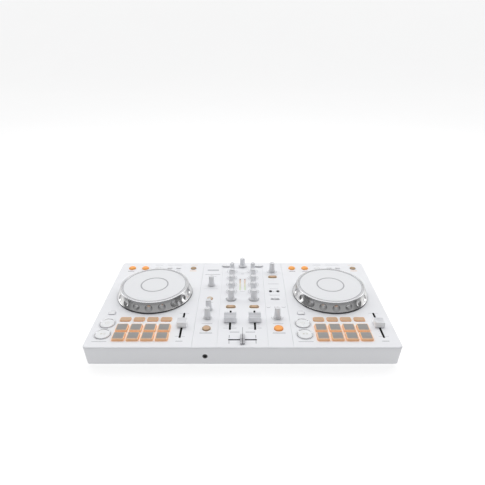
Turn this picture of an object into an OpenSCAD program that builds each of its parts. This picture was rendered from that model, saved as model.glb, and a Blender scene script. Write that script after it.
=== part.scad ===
// Two-deck DJ controller: a low white case with two jog wheels, a mixer between them,
// performance pads, faders, knobs and buttons, and the boards and sockets inside.
// Frame: origin at the middle of the footprint on the table, +X right, +Y back, +Z up.

/* [Case] */
// Width of the case across its top plate
case_w = 482; // [480:1:490]
// Depth of the case across its top plate
case_d = 272.4; // [271:0.2:275]
// Height of the top plate's face above the table
plate_z = 40; // [40:0.5:42]
// Height of the skirt, from the plate's face down
skirt_h = 33.2; // [32.5:0.1:33.6]
// How far the skirt leans in over its height
skirt_lean = 3.3; // [2.8:0.1:3.5]
// Radius of the corners seen from above
corner_r = 7; // [6.5:0.5:8]
// Rounding of the plate's edge
edge_r = 1.5; // [1:0.25:2]
// Thickness of the case walls
wall_t = 2.5; // [2.4:0.1:2.6]
// Height of the rubber feet below the case
foot_h = 4; // [4:0.2:5]

/* [Decks] */
// Distance of each deck's middle from the middle of the case
deck_x = 157.8; // [157.4:0.1:158.2]
// Distance of a jog wheel's axis from its deck's middle, towards the mixer on the left deck
jog_dx = 1.3; // [0.5:0.1:1.5]
// Distance of the jog wheels' axes from the front edge
jog_y = 154.5; // [153:0.5:156]
// Radius of a jog wheel at its foot
jog_r = 66; // [65:0.5:66.5]
// Height of a jog wheel's rim above the plate
jog_h = 18.6; // [18:0.1:20]
// Number of finger dimples around a jog wheel
dimples = 18; // [14:1:18]
// Spacing of the performance pads
pad_pitch = 22.2; // [22:0.1:22.4]
// Side of one performance pad
pad_w = 18.4; // [17:0.2:18.6]
// Height of the pads above the plate
pad_h = 3.7; // [3:0.1:4]

/* [Controls] */
// Height of the knobs above the plate
knob_h = 19; // [15:0.5:19]
// Radius of a knob at its top
knob_r = 4.6; // [4.4:0.1:5]
// Radius of a knob's flared skirt
knob_skirt_r = 6.8; // [6.4:0.1:7]
// Half travel of the channel faders
channel_travel = 22.5; // [20:0.5:22.5]
// Half travel of the tempo sliders
tempo_travel = 30; // [28:0.5:30]
// Half travel of the crossfader
cross_travel = 18; // [16:0.5:18]
// Height of the channel and tempo caps above the plate
cap_h = 9.6; // [8:0.2:11]
// Height of the crossfader's cap above the plate
cross_cap_h = 6.6; // [6:0.2:8]

/* [Hidden] */

$fn = 48;
fit = 0.05;       // radial running clearance of a shaft in its bore
gap = 0.3;        // clearance between a moving piece and the plate
eps = 0.5;        // how far a cutter runs past a face

under_z = plate_z - wall_t;          // underside of the top plate
skirt_z = plate_z - skirt_h;         // lower edge of the skirt
board_t = 1.6;
board_top = under_z - 8.9;           // component side of the mixer and deck boards
board_z = board_top - board_t;
tray_z = foot_h;                     // underside of the bottom case
tray_floor = tray_z + wall_t;
tray_in = skirt_lean + wall_t + 0.35; // the bottom case stands back inside the skirt
io_top = 12.6;                       // top of the rear socket board
rear_z = 18;                         // axis height of the rear sockets
phones_z = plate_z - 17.2;            // axis height of the front headphone socket

// Colours
white = [0.93, 0.94, 0.95];
light = [0.80, 0.81, 0.82];
grey = [0.62, 0.63, 0.65];
dark = [0.18, 0.18, 0.20];
chrome = [0.55, 0.56, 0.58];
orange = [0.98, 0.62, 0.22];
tan_orange = [0.85, 0.63, 0.42];
green = [0.15, 0.38, 0.24];
steel = [0.72, 0.72, 0.70];

// Places on the plate: x from the middle, y from the front edge
mix_x = 20;                          // the two mixer channels
side_x = 57.4;                       // the columns beside the channels
eq_y = [236, 211, 186, 161, 136];    // trim, high, mid, low, filter
channel_y = 72;
tempo_dx = 60.7;
tempo_y = 58.25;
cross_y = 19.5;
transport_dx = -60.4;
play_y = 33.2;
cue_y = 61.9;
shift_dx = -60;
shift_y = 91;
pads_y = 36.7;
pads_depth = 22;                     // spacing of the two pad rows
mode_y = 73;
loop_y = 249;
browse_y = 257;
load_x = 32;
load_y = 258;
channel_cue_y = 110.8;
master_y = 183.6;
master_cue_y = 137;
phones_mix_y = 103.6;
phones_level_y = 78.6;
low_button_y = 48.5;
mic_y = 236;
fx_select_y = 214;
beat_dx = 6.7;
beat_y = 161.5;
fx_switch_y = 135.5;
fx_level_y = 78.6;
meter_x = 4.4;
meter_y = 186;
meter_l = 40;
seam_x = [39, 77];
phones_x = -56.7;
mic_x = 55;
rca_x = [4, 22];
usb_x = -40;
lock_x = -200;

// Radii of the round keys
transport_r = 12.3;
loop_r = 6.5;
reloop_r = 5.5;
beat_r = 2.6;
fx_on_r = 7.3;
smart_r = 6.5;
master_cue_r = 5;

// Sizes of the other keys
mode_size = [17.5, 10.8];
shift_size = [10, 8];
call_size = [9, 5];
load_size = [16.4, 9.4];
pill_size = [16.4, 7.5];
fx_slot = [14.4, 3.8];
slot_w = 2.8;                        // width of the fader slots
blade = [7, 1.2];                    // a fader's stem, along and across the slot
shaft_r = 2.95;
bushing_r = 3.5;
shaft_hole_r = 4.2;
key_travel_gap = 1.2;                // room under a key's stem

boss_xy = [for (x = [-231, -79, 79, 231], y = [10, 136, 262.4]) [x, y]];
foot_xy = [for (x = [-205, 0, 205], y = [34, 238]) [x, y]];
post_xy = [for (x = [-222, -90, -69, 69, 90, 222], y = [20, 226]) [x, y]];
knob_xy = concat(
    [for (x = [-mix_x, mix_x], y = eq_y) [x, y]],
    [[-side_x, master_y], [-side_x, phones_mix_y], [-side_x, phones_level_y]],
    [[side_x, mic_y], [side_x, fx_level_y]]);

// Row place of a distance from the front edge
function fy(y) = y - case_d / 2;
// The skirt's lean at a height
function lean(z) = skirt_lean * (plate_z - z) / skirt_h;
// Row x of a place on a deck: side is -1 for the left deck, 1 for the right
function deck(side, dx) = side * deck_x + dx;
function jog_x(side) = side * (deck_x - jog_dx);

module at(x, y, z = 0) {
    translate([x, fy(y), z]) children();
}

// A slab seen from above as w by d, centred
module slab(w, d, h) {
    translate([-w / 2, -d / 2, 0]) cube([w, d, h]);
}

// A pill seen from above: round ends on a straight middle
module pill(w, d, h) {
    slab(w - d, d, h);
    for (s = [-1, 1]) translate([s * (w - d) / 2, 0, 0]) cylinder(h = h, d = d);
}

// The case's outer form between two heights, moved in by inset
module case_block(z0, z1, inset) {
    hull() for (sx = [-1, 1], sy = [-1, 1])
        translate([sx * (case_w / 2 - corner_r), sy * (case_d / 2 - corner_r), z0])
            cylinder(h = z1 - z0, r1 = corner_r - inset - lean(z0),
                     r2 = corner_r - inset - lean(z1), $fn = 32);
}

module case_outside() {
    hull() for (sx = [-1, 1], sy = [-1, 1])
        translate([sx * (case_w / 2 - corner_r), sy * (case_d / 2 - corner_r), 0]) {
            translate([0, 0, skirt_z])
                cylinder(h = skirt_h - edge_r, r1 = corner_r - skirt_lean, r2 = corner_r, $fn = 32);
            for (a = [30, 60, 90])
                translate([0, 0, plate_z - edge_r + edge_r * sin(a) - 0.02])
                    cylinder(h = 0.02, r = corner_r - edge_r + edge_r * cos(a), $fn = 32);
        }
}

// Every opening in the top plate
module plate_openings() {
    z = under_z - eps;
    h = wall_t + 2 * eps;
    for (p = knob_xy) at(p[0], p[1], z) cylinder(h = h, r = shaft_hole_r);
    at(0, browse_y, z) cylinder(h = h, r = shaft_hole_r);
    for (s = [-1, 1]) {
        at(s * mix_x, channel_y, z) slab(slot_w, 2 * channel_travel + blade[0] + 2, h);
        at(deck(s, tempo_dx), tempo_y, z) slab(slot_w, 2 * tempo_travel + blade[0] + 0.6, h);
        for (y = [play_y, cue_y])
            at(deck(s, transport_dx), y, z) cylinder(h = h, r = transport_r + gap);
        at(deck(s, shift_dx), shift_y, z)
            slab(shift_size[0] + 2 * gap, shift_size[1] + 2 * gap, h);
        for (i = [-1.5:1.5]) {
            at(deck(s, i * pad_pitch), mode_y, z)
                slab(mode_size[0] + 2 * gap, mode_size[1] + 2 * gap, h);
            for (j = [-0.5, 0.5])
                at(deck(s, i * pad_pitch), pads_y + j * pads_depth, z)
                    slab(pad_w + 2 * gap, pad_w + 2 * gap, h);
        }
        for (k = loop_keys) at(deck(s, k[0]), loop_y, z)
            if (k[2] == 0) cylinder(h = h, r = k[1] + gap);
            else slab(k[1] + 2 * gap, k[2] + 2 * gap, h);
        at(s * load_x, load_y, z) pill(load_size[0] + 2 * gap, load_size[1] + 2 * gap, h);
        at(s * mix_x, channel_cue_y, z) pill(pill_size[0] + 2 * gap, pill_size[1] + 2 * gap, h);
        at(side_x + s * beat_dx, beat_y, z) cylinder(h = h, r = beat_r + gap);
        at(s * meter_x, meter_y, z) slab(3.2, meter_l + 0.4, h);
        at(jog_x(s), jog_y, z) cylinder(h = h, r = 8);
        at(jog_x(s), jog_y + sensor_r, z) slab(7, 9.4, h);
    }
    at(0, cross_y, z) slab(2 * cross_travel + blade[0] + 1, slot_w, h);
    at(side_x, fx_select_y, z) pill(pill_size[0] + 2 * gap, pill_size[1] + 2 * gap, h);
    at(side_x, fx_switch_y, z) slab(fx_slot[0], fx_slot[1], h);
    at(side_x, low_button_y, z) cylinder(h = h, r = fx_on_r + gap);
    at(-side_x, low_button_y, z) cylinder(h = h, r = smart_r + gap);
    at(-side_x, master_cue_y, z) cylinder(h = h, r = master_cue_r + gap);
}

// Loop, cue-call and sync keys: place from the deck's middle, then radius, or width and depth
loop_keys = [[-60.2, loop_r, 0], [-34.5, loop_r, 0], [-9.5, reloop_r, 0],
             [14, call_size[0], call_size[1]], [31, call_size[0], call_size[1]],
             [60.7, reloop_r, 0]];
sensor_r = 34.5;                     // radius of the jog wheels' encoder fence

// Openings in the skirt for the sockets and the lock
module skirt_openings() {
    translate([phones_x, fy(0) - eps, phones_z]) rotate([-90, 0, 0]) cylinder(h = 8, r = 4.1);
    translate([mic_x, fy(case_d) + eps, rear_z]) rotate([90, 0, 0]) cylinder(h = 9, r = 6.2);
    for (x = rca_x)
        translate([x, fy(case_d) + eps, rear_z]) rotate([90, 0, 0]) cylinder(h = 9, r = 6.6);
    translate([usb_x - 5, fy(case_d) - 8, rear_z - 2]) cube([10, 9, 4]);
    translate([lock_x - 3.5, fy(case_d) - 8, 20.5]) cube([7, 9, 3]);
}

module top_case() {
    color(white) difference() {
        union() {
            difference() {
                case_outside();
                case_block(skirt_z - 1, under_z, wall_t);
            }
            for (p = boss_xy) at(p[0], p[1], 13) cylinder(h = under_z - 13 + 0.6, r = 3.8);
        }
        plate_openings();
        skirt_openings();
        for (p = boss_xy) at(p[0], p[1], 12) cylinder(h = 18, r = 1.5);
        for (s = [-1, 1], i = [0, 1])
            translate([s * seam_x[i] - 0.3, fy(0) - 1, plate_z - 0.5])
                cube([0.6, case_d + 2, 1]);
    }
}

module bottom_case() {
    w = case_w - 2 * tray_in;
    d = case_d - 2 * tray_in;
    color(light) difference() {
        union() {
            translate([0, 0, tray_z]) slab(w, d, wall_t);
            difference() {
                translate([0, 0, tray_z]) slab(w, d, skirt_z + 1 - tray_z);
                translate([0, 0, tray_floor - 1]) slab(w - 4, d - 4, 20);
            }
            for (p = boss_xy) at(p[0], p[1], tray_floor - 0.5)
                cylinder(h = 12.7 - tray_floor + 0.5, r = 3.8);
            for (p = post_xy) at(p[0], p[1], tray_floor - 0.5)
                cylinder(h = board_z - tray_floor + 0.5, r = 3);
            for (x = [-48, 55], y = [229, 250]) at(x, y, tray_floor - 0.5)
                cylinder(h = io_top - board_t - tray_floor + 0.5, r = 2.5);
        }
        for (p = boss_xy) {
            at(p[0], p[1], tray_z - 1) cylinder(h = 20, r = 1.7);
            at(p[0], p[1], tray_z - 1) cylinder(h = 3.9, r = 3.2);
        }
        for (p = foot_xy) at(p[0], p[1], tray_z - 1) cylinder(h = 1.8, r = 9.2);
    }
}

module rubber_feet() {
    color(dark) for (p = foot_xy) at(p[0], p[1]) {
        cylinder(h = 1, r1 = 8.2, r2 = 9);
        translate([0, 0, 1]) cylinder(h = foot_h - 1 + 0.75, r = 9);
    }
}

module case_screws() {
    color(steel) for (p = boss_xy) at(p[0], p[1]) difference() {
        union() {
            translate([0, 0, tray_z + 0.7]) cylinder(h = 2.2, r = 2.9);
            translate([0, 0, tray_z + 2]) cylinder(h = 18, r = 1.45);
        }
        translate([-1.6, -0.35, tray_z]) cube([3.2, 0.7, 1.9]);
        translate([-0.35, -1.6, tray_z]) cube([0.7, 3.2, 1.9]);
    }
}

// A tactile switch on a board
module tact_switch(x, y) {
    at(x, y, board_top - 0.2) {
        slab(6, 6, 3.2);
        cylinder(h = 4, r = 1.7);
    }
}

module deck_board(side) {
    color(green) difference() {
        union() {
            at(side * 155.5, 138, board_z) slab(141, 250, board_t);
            for (y = [play_y, cue_y]) tact_switch(deck(side, transport_dx), y);
            tact_switch(deck(side, shift_dx), shift_y);
            for (k = loop_keys) tact_switch(deck(side, k[0]), loop_y);
            for (i = [-1.5:1.5]) tact_switch(deck(side, i * pad_pitch), mode_y);
            at(jog_x(side), 110, board_top - 0.2) slab(14, 14, 1.8);
            at(jog_x(side), jog_y + sensor_r, board_top - 0.2)
                slab(6, 8, plate_z + 4 - board_top);
        }
        at(jog_x(side), jog_y + sensor_r, plate_z + 0.5) slab(8, 4, 10);
    }
}

module mixer_board() {
    at(0, 136, board_z) slab(146, 252, board_t);
    for (s = [-1, 1]) {
        tact_switch(s * load_x, load_y);
        tact_switch(s * mix_x, channel_cue_y);
        tact_switch(s * side_x, low_button_y);
        at(side_x + s * beat_dx, beat_y, board_top - 0.2) slab(3.5, 3.5, 3);
    }
    tact_switch(side_x, fx_select_y);
    tact_switch(-side_x, master_cue_y);
    at(0, 128, board_top - 0.2) slab(12, 12, 1.8);
}

module circuit_boards() {
    for (s = [-1, 1]) deck_board(s);
    color(green) {
        mixer_board();
        at(2, 240, io_top - board_t) slab(122, 30, board_t);
    }
}

// A rotary potentiometer: a box with a bushing that carries the shaft
module pot(x, y, w) {
    at(x, y, board_top) difference() {
        union() {
            slab(w, w, 6);
            cylinder(h = plate_z - board_top - 0.6, r = bushing_r);
        }
        translate([0, 0, 1]) cylinder(h = 20, r = shaft_r + fit);
    }
}

module pot_bodies() {
    color(steel) {
        for (p = knob_xy) pot(p[0], p[1], 9.8);
        pot(0, browse_y, 11.6);
    }
}

// A slide potentiometer whose channel runs along Y, or along X if across is true
module slide_pot(x, y, travel, across = false) {
    l = 2 * travel + blade[0] + 1;
    at(x, y, board_top) rotate([0, 0, across ? 90 : 0]) difference() {
        slab(11, l + 4, 8);
        translate([0, 0, 1]) slab(blade[1] + 0.2, l, 8);
    }
}

module fader_bodies() {
    color(steel) {
        for (s = [-1, 1]) {
            slide_pot(s * mix_x, channel_y, channel_travel);
            slide_pot(deck(s, tempo_dx), tempo_y, tempo_travel);
        }
        slide_pot(0, cross_y, cross_travel, true);
        slide_switch_body();
    }
}

module slide_switch_body() {
    at(side_x, fx_switch_y, board_top) difference() {
        slab(19, 7, 6);
        translate([0, 0, 1]) slab(14.4, 2.4, 8);
    }
}

spindle_r = 6;
hub_top = plate_z + 13;              // where the retaining washer sits
rest_z = plate_z + 0.5;              // underside of the jog wheels

module jog_spindles() {
    color(steel) for (s = [-1, 1]) at(jog_x(s), jog_y) {
        translate([0, 0, under_z - 3]) cylinder(h = 3, r = 16);
        translate([0, 0, under_z - 5]) cylinder(h = hub_top + 0.3 - under_z + 5, r = spindle_r);
        translate([0, 0, hub_top]) cylinder(h = 1.6, r = 4.95);
        difference() {
            translate([0, 0, hub_top + 0.3]) cylinder(h = 1, r = 9);
            translate([0, 0, hub_top]) cylinder(h = 3, r = 5);
        }
    }
}

rim_z = plate_z + jog_h;
disc_floor = rim_z - 2.6;            // ledge that carries the top disc
foot_top = rest_z + 1.9;             // top of the vertical foot ring

module jog_wheel(side) {
    top_r = jog_r - 5.6;
    color(chrome) at(jog_x(side), jog_y) difference() {
        union() {
            rotate_extrude($fn = 96) polygon([
                [spindle_r + fit, rest_z + 1], [12, rest_z + 1], [12, disc_floor - 2.4],
                [top_r - 2.8, disc_floor - 2.4], [jog_r - 3.4, rest_z], [jog_r, rest_z],
                [jog_r, foot_top], [jog_r - 0.7, foot_top + 0.4], [top_r, rim_z - 1.8],
                [top_r - 0.5, rim_z - 0.5], [top_r - 1.2, rim_z], [top_r - 3.2, rim_z],
                [top_r - 3.5, rim_z - 0.3], [top_r - 3.5, disc_floor], [10, disc_floor],
                [10, hub_top], [spindle_r + fit, hub_top]]);
            rotate_extrude($fn = 96) translate([sensor_r - 0.5, plate_z + 1.6])
                square([1, disc_floor - 2 - plate_z - 1.6]);
        }
        for (i = [0:dimples - 1]) rotate([0, 0, (i + 0.5) * 360 / dimples])
            translate([jog_r + 10.4, 0, rest_z + 14.1]) sphere(r = 15.6, $fn = 64);
    }
}

module jog_disc(side) {
    r = jog_r - 9.4;
    color(light) at(jog_x(side), jog_y) rotate_extrude($fn = 96) polygon([
        [0, disc_floor + 0.1], [r, disc_floor + 0.1], [r, rim_z - 0.8], [r - 0.5, rim_z - 0.3],
        [23.7, rim_z - 0.3], [23.7, rim_z - 0.7], [22.9, rim_z - 0.7], [22.9, rim_z - 0.4],
        [0, rim_z - 0.4]]);
}

// A knob on its shaft: place, height, top radius and skirt radius
module knob(x, y, h, r, skirt) {
    z0 = plate_z + 0.6;
    color(grey) at(x, y) {
        rotate_extrude() polygon([
            [0, board_top + 1.5], [shaft_r, board_top + 1.5], [shaft_r, z0], [skirt, z0],
            [skirt, z0 + 1], [r + 0.7, z0 + 3], [r, plate_z + h - 0.6],
            [r - 0.6, plate_z + h], [0, plate_z + h]]);
        translate([-0.4, r - 2.2, plate_z + h - 0.5]) cube([0.8, 1.9, 0.8]);
    }
}

// The trim knobs, in row 0, are a little slimmer
module channel_knob(side, row) {
    slim = row == 0 ? 0.6 : 0;
    knob(side * mix_x, eq_y[row], knob_h, knob_r - slim, knob_skirt_r - slim);
}

module filter_knob(side) {
    knob(side * mix_x, eq_y[4], knob_h, knob_r + 0.3, knob_skirt_r + 1.2);
}

module browse_knob() {
    z0 = plate_z + 1.2;
    color(grey) at(0, browse_y) rotate_extrude() polygon([
        [0, board_top + 1.5], [shaft_r, board_top + 1.5], [shaft_r, z0], [7.75, z0],
        [7.75, z0 + 1.3], [7, z0 + 2], [4.75, z0 + 2.6], [4.75, plate_z + 17.4],
        [4.2, plate_z + 18], [0, plate_z + 18]]);
}

// A fader cap seen from above as w by d, narrowing to top_d, on a blade that runs in its slot
module fader_cap(x, y, w, d, top_d, h, across = false) {
    z0 = plate_z + 1;
    at(x, y) {
        rotate([0, 0, across ? 90 : 0]) translate([0, 0, board_top + 1.6])
            slab(blade[1], blade[0], z0 + 1 - board_top - 1.6);
        difference() {
            hull() {
                translate([0, 0, z0]) slab(w, d, 1.5);
                translate([0, 0, plate_z + h - 1]) slab(w - 1, top_d, 1);
            }
            if (across) translate([0, 0, plate_z + h - 0.5]) slab(0.8, d + 1, 2);
            else translate([0, 0, plate_z + h - 0.5]) slab(w + 1, 0.8, 2);
        }
    }
}

module channel_fader(side) {
    color(grey) fader_cap(side * mix_x, channel_y, 20.2, 17.3, 14, cap_h);
}

module tempo_slider(side) {
    color(light) fader_cap(deck(side, tempo_dx), tempo_y, 15.3, 17.3, 14, cap_h);
}

module crossfader() {
    color(dark) fader_cap(0, cross_y, 7.4, 24, 8.4, cross_cap_h, true);
}

module fx_channel_switch() {
    color(light) at(side_x, fx_switch_y) {
        translate([0, 0, board_top + 1.5]) slab(3, 1.8, plate_z - 0.4 - board_top);
        translate([0, 0, under_z]) slab(5.2, 3, plate_z + 2.4 - under_z);
    }
}

// The flange and stem that keep a key under the plate
module key_root(w, d) {
    translate([0, 0, under_z - gap - 1.2]) slab(w, d, 1.2);
    translate([0, 0, board_top + 3.8 + key_travel_gap]) slab(3.4, 3.4, under_z - board_top - 5.6);
}

module round_key(x, y, r, h, hue) {
    color(hue) at(x, y) {
        key_root(2 * r + 1.6, 2 * r + 1.6);
        translate([0, 0, under_z - gap - 0.6])
            cylinder(h = plate_z + h - 0.4 - under_z + gap + 0.6, r = r);
        translate([0, 0, plate_z + h - 0.4]) cylinder(h = 0.4, r1 = r, r2 = r - 0.4);
    }
}

module pill_key(x, y, size, h, hue) {
    color(hue) at(x, y) {
        key_root(size[0] + 1.6, size[1] + 1.6);
        translate([0, 0, under_z - gap - 0.6])
            pill(size[0], size[1], plate_z + h - under_z + gap + 0.6);
    }
}

module shift_button(side) {
    color(white) at(deck(side, shift_dx), shift_y) {
        key_root(shift_size[0] + 1.6, shift_size[1] + 1.6);
        translate([0, 0, under_z - gap - 0.6])
            slab(shift_size[0], shift_size[1], plate_z + 1.2 - under_z + gap + 0.6);
    }
}

sheet_z = under_z - gap - 1.2;       // underside of the silicone sheets

module silicone_sheet(x, y, w, d) {
    at(x, y, sheet_z) slab(w, d, 1.2);
}

module beat_buttons() {
    color(dark) {
        silicone_sheet(side_x, beat_y, 2 * beat_dx + 9, 9);
        for (s = [-1, 1]) at(side_x + s * beat_dx, beat_y, sheet_z)
            cylinder(h = plate_z + 1 - sheet_z, r = beat_r);
    }
}

module pads(side) {
    color(grey) {
        silicone_sheet(deck(side, 0), pads_y, 4 * pad_pitch + 1.6, pads_depth + pad_w + 3);
        for (i = [-1.5:1.5], j = [-0.5, 0.5])
            at(deck(side, i * pad_pitch), pads_y + j * pads_depth) {
                translate([0, 0, sheet_z + 0.6])
                    slab(pad_w, pad_w, plate_z + pad_h - 0.6 - sheet_z - 0.6);
                translate([0, 0, plate_z + pad_h - 1]) slab(pad_w - 1.2, pad_w - 1.2, 1);
                translate([0, 0, board_top + 1.5]) cylinder(h = sheet_z - board_top - 1, r = 4);
            }
    }
}

module mode_buttons(side) {
    color(tan_orange) {
        silicone_sheet(deck(side, 0), mode_y, 4 * pad_pitch + 1.6, mode_size[1] + 3);
        for (i = [-1.5:1.5]) at(deck(side, i * pad_pitch), mode_y, sheet_z + 0.6)
            slab(mode_size[0], mode_size[1], plate_z + 1.5 - sheet_z - 0.6);
    }
}

module loop_buttons(side) {
    color(orange) {
        silicone_sheet(deck(side, 0.2), loop_y, 136, 14);
        for (k = loop_keys) at(deck(side, k[0]), loop_y) {
            h = k[1] == loop_r ? 3.4 : 1.8;
            translate([0, 0, sheet_z + 0.6])
                if (k[2] == 0) {
                    cylinder(h = plate_z + h - 0.8 - sheet_z - 0.6, r = k[1]);
                    translate([0, 0, plate_z + h - 0.8 - sheet_z - 0.6])
                        cylinder(h = 0.8, r1 = k[1], r2 = k[1] - 0.9);
                } else slab(k[1], k[2], plate_z + 1.2 - sheet_z - 0.6);
        }
    }
}

// Two lit bars on a carrier under the plate
module level_meter() {
    color(orange) {
        at(0, meter_y, under_z - 2.2) slab(13, meter_l + 3, 2);
        for (s = [-1, 1]) at(s * meter_x, meter_y, under_z - 0.6)
            slab(2.9, meter_l, plate_z + 0.1 - under_z + 0.6);
    }
}

// A socket along Y: nose radius, bore radius, bore depth; face is the row y of its mouth
module phones_jack() {
    face = fy(0) + lean(phones_z) - 0.3;
    color(dark) translate([phones_x, face, phones_z]) difference() {
        union() {
            rotate([-90, 0, 0]) cylinder(h = 6, r = 3.85);
            translate([-5.5, 3.6, -3.9]) cube([11, 13, board_z - phones_z + 3.9]);
        }
        translate([0, -1, 0]) rotate([-90, 0, 0]) cylinder(h = 15, r = 1.8);
    }
}

module mic_jack() {
    face = fy(case_d) - lean(rear_z) + 0.3;
    color(dark) translate([mic_x, face, rear_z]) difference() {
        union() {
            rotate([90, 0, 0]) cylinder(h = 6, r = 6);
            translate([-7.2, -24, io_top - rear_z]) cube([14.4, 20.4, 12]);
        }
        translate([0, 1, 0]) rotate([90, 0, 0]) cylinder(h = 22, r = 3.2);
    }
}

rca_floor = 126;                     // bottom of the wells around the phono barrels
rca_face = 130.3;                    // face of the phono housing

module rca_jacks() {
    well_r = 6.3;
    barrel_r = 4.15;
    color(dark) difference() {
        union() {
            translate([rca_x[0] - 8.5, 119.4, rear_z - 7])
                cube([rca_x[1] - rca_x[0] + 17, rca_face - 119.4, 14]);
            translate([rca_x[0] - 8.5, 106, io_top])
                cube([rca_x[1] - rca_x[0] + 17, 14, rear_z + 7 - io_top]);
        }
        for (x = rca_x) translate([x, rca_floor, rear_z]) rotate([-90, 0, 0])
            cylinder(h = 10, r = well_r);
    }
    color(steel) for (x = rca_x) translate([x, 0, rear_z]) rotate([-90, 0, 0]) difference() {
        translate([0, 0, rca_floor]) cylinder(h = 7.8, r = barrel_r);
        translate([0, 0, rca_floor + 0.8]) cylinder(h = 10, r = 1.65);
    }
}

module usb_port() {
    face = fy(case_d) - lean(rear_z) + 0.1;
    color(steel) translate([usb_x, face, rear_z]) difference() {
        union() {
            translate([-4.5, -13, -1.65]) cube([9, 13, 3.3]);
            translate([-4.5, -24, io_top - rear_z]) cube([9, 11.5, rear_z + 1.65 - io_top]);
        }
        difference() {
            translate([-4.15, -7, -1.3]) cube([8.3, 8, 2.6]);
            translate([-3.2, -7.5, -0.35]) cube([6.4, 6.5, 0.7]);
        }
    }
}

top_case();
bottom_case();
rubber_feet();
case_screws();
circuit_boards();
pot_bodies();
fader_bodies();
jog_spindles();
rca_jacks();
usb_port();
mic_jack();
phones_jack();
level_meter();
jog_wheel(-1);  // jog_wheel_left
jog_wheel(1);  // jog_wheel_right
jog_disc(-1);  // jog_disc_left
jog_disc(1);  // jog_disc_right
channel_knob(-1, 0);  // ch1_trim_knob
channel_knob(-1, 1);  // ch1_high_knob
channel_knob(-1, 2);  // ch1_mid_knob
channel_knob(-1, 3);  // ch1_low_knob
filter_knob(-1);  // ch1_filter_knob
channel_knob(1, 0);  // ch2_trim_knob
channel_knob(1, 1);  // ch2_high_knob
channel_knob(1, 2);  // ch2_mid_knob
channel_knob(1, 3);  // ch2_low_knob
filter_knob(1);  // ch2_filter_knob
knob(-side_x, master_y, knob_h, knob_r, knob_skirt_r);  // master_level_knob
knob(-side_x, phones_mix_y, knob_h, knob_r, knob_skirt_r);  // phones_mix_knob
knob(-side_x, phones_level_y, knob_h, knob_r, knob_skirt_r);  // phones_level_knob
knob(side_x, mic_y, knob_h, knob_r, knob_skirt_r);  // mic_level_knob
knob(side_x, fx_level_y, knob_h, knob_r, knob_skirt_r);  // fx_level_knob
browse_knob();
channel_fader(-1);  // ch1_fader
channel_fader(1);  // ch2_fader
tempo_slider(-1);  // tempo_slider_left
tempo_slider(1);  // tempo_slider_right
crossfader();
fx_channel_switch();
round_key(deck(-1, transport_dx), play_y, transport_r, 1.5, white);  // play_button_left
round_key(deck(1, transport_dx), play_y, transport_r, 1.5, white);  // play_button_right
round_key(deck(-1, transport_dx), cue_y, transport_r, 1.5, white);  // cue_button_left
round_key(deck(1, transport_dx), cue_y, transport_r, 1.5, white);  // cue_button_right
shift_button(-1);  // shift_button_left
shift_button(1);  // shift_button_right
pill_key(-load_x, load_y, load_size, 2.4, light);  // load_button_left
pill_key(load_x, load_y, load_size, 2.4, light);  // load_button_right
pill_key(-mix_x, channel_cue_y, pill_size, 1.6, tan_orange);  // ch1_cue_button
pill_key(mix_x, channel_cue_y, pill_size, 1.6, tan_orange);  // ch2_cue_button
pill_key(side_x, fx_select_y, pill_size, 1.6, tan_orange);  // fx_select_button
beat_buttons();
round_key(side_x, low_button_y, fx_on_r, 2, orange);  // fx_on_button
round_key(-side_x, master_cue_y, master_cue_r, 1.6, tan_orange);  // master_cue_button
round_key(-side_x, low_button_y, smart_r, 2, tan_orange);  // smart_fader_button
pads(-1);  // pads_left
pads(1);  // pads_right
mode_buttons(-1);  // mode_buttons_left
mode_buttons(1);  // mode_buttons_right
loop_buttons(-1);  // loop_buttons_left
loop_buttons(1);  // loop_buttons_right
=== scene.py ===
"""Looks of a two-deck DJ controller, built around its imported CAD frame.

Shapes are worked out in millimetres from the frame's own boxes and become metres when a mesh is made.
+X is to the right deck, +Y to the rear, +Z up out of the top plate.
"""

import math

import bmesh
import bpy
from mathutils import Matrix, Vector

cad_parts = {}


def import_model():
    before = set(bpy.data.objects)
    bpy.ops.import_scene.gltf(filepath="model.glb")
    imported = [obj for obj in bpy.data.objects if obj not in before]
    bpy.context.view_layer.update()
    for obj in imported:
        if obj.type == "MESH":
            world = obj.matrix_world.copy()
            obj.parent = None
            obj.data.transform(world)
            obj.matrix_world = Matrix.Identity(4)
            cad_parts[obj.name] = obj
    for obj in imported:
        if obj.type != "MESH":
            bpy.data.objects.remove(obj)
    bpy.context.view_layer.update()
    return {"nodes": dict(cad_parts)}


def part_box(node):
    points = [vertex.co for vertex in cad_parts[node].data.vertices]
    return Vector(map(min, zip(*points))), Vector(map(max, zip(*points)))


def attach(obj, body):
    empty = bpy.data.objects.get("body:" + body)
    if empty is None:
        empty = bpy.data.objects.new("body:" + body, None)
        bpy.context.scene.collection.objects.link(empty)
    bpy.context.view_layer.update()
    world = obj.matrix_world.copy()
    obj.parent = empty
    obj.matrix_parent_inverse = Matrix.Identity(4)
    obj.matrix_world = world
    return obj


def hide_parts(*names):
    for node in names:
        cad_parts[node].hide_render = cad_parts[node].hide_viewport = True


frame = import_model()
MM = 0.001
SMOOTH_ANGLE = math.radians(38)


# ---------------------------------------------------------------- places

def box(node):
    """A CAD node's lowest and highest corners, in millimetres."""
    low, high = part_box(node)
    return low / MM, high / MM


def middle(node):
    low, high = box(node)
    return (low + high) / 2


def size_of(node):
    low, high = box(node)
    return high - low


def flat(node):
    """A CAD node's middle seen from above."""
    p = middle(node)
    return (p.x, p.y, 0)


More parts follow.
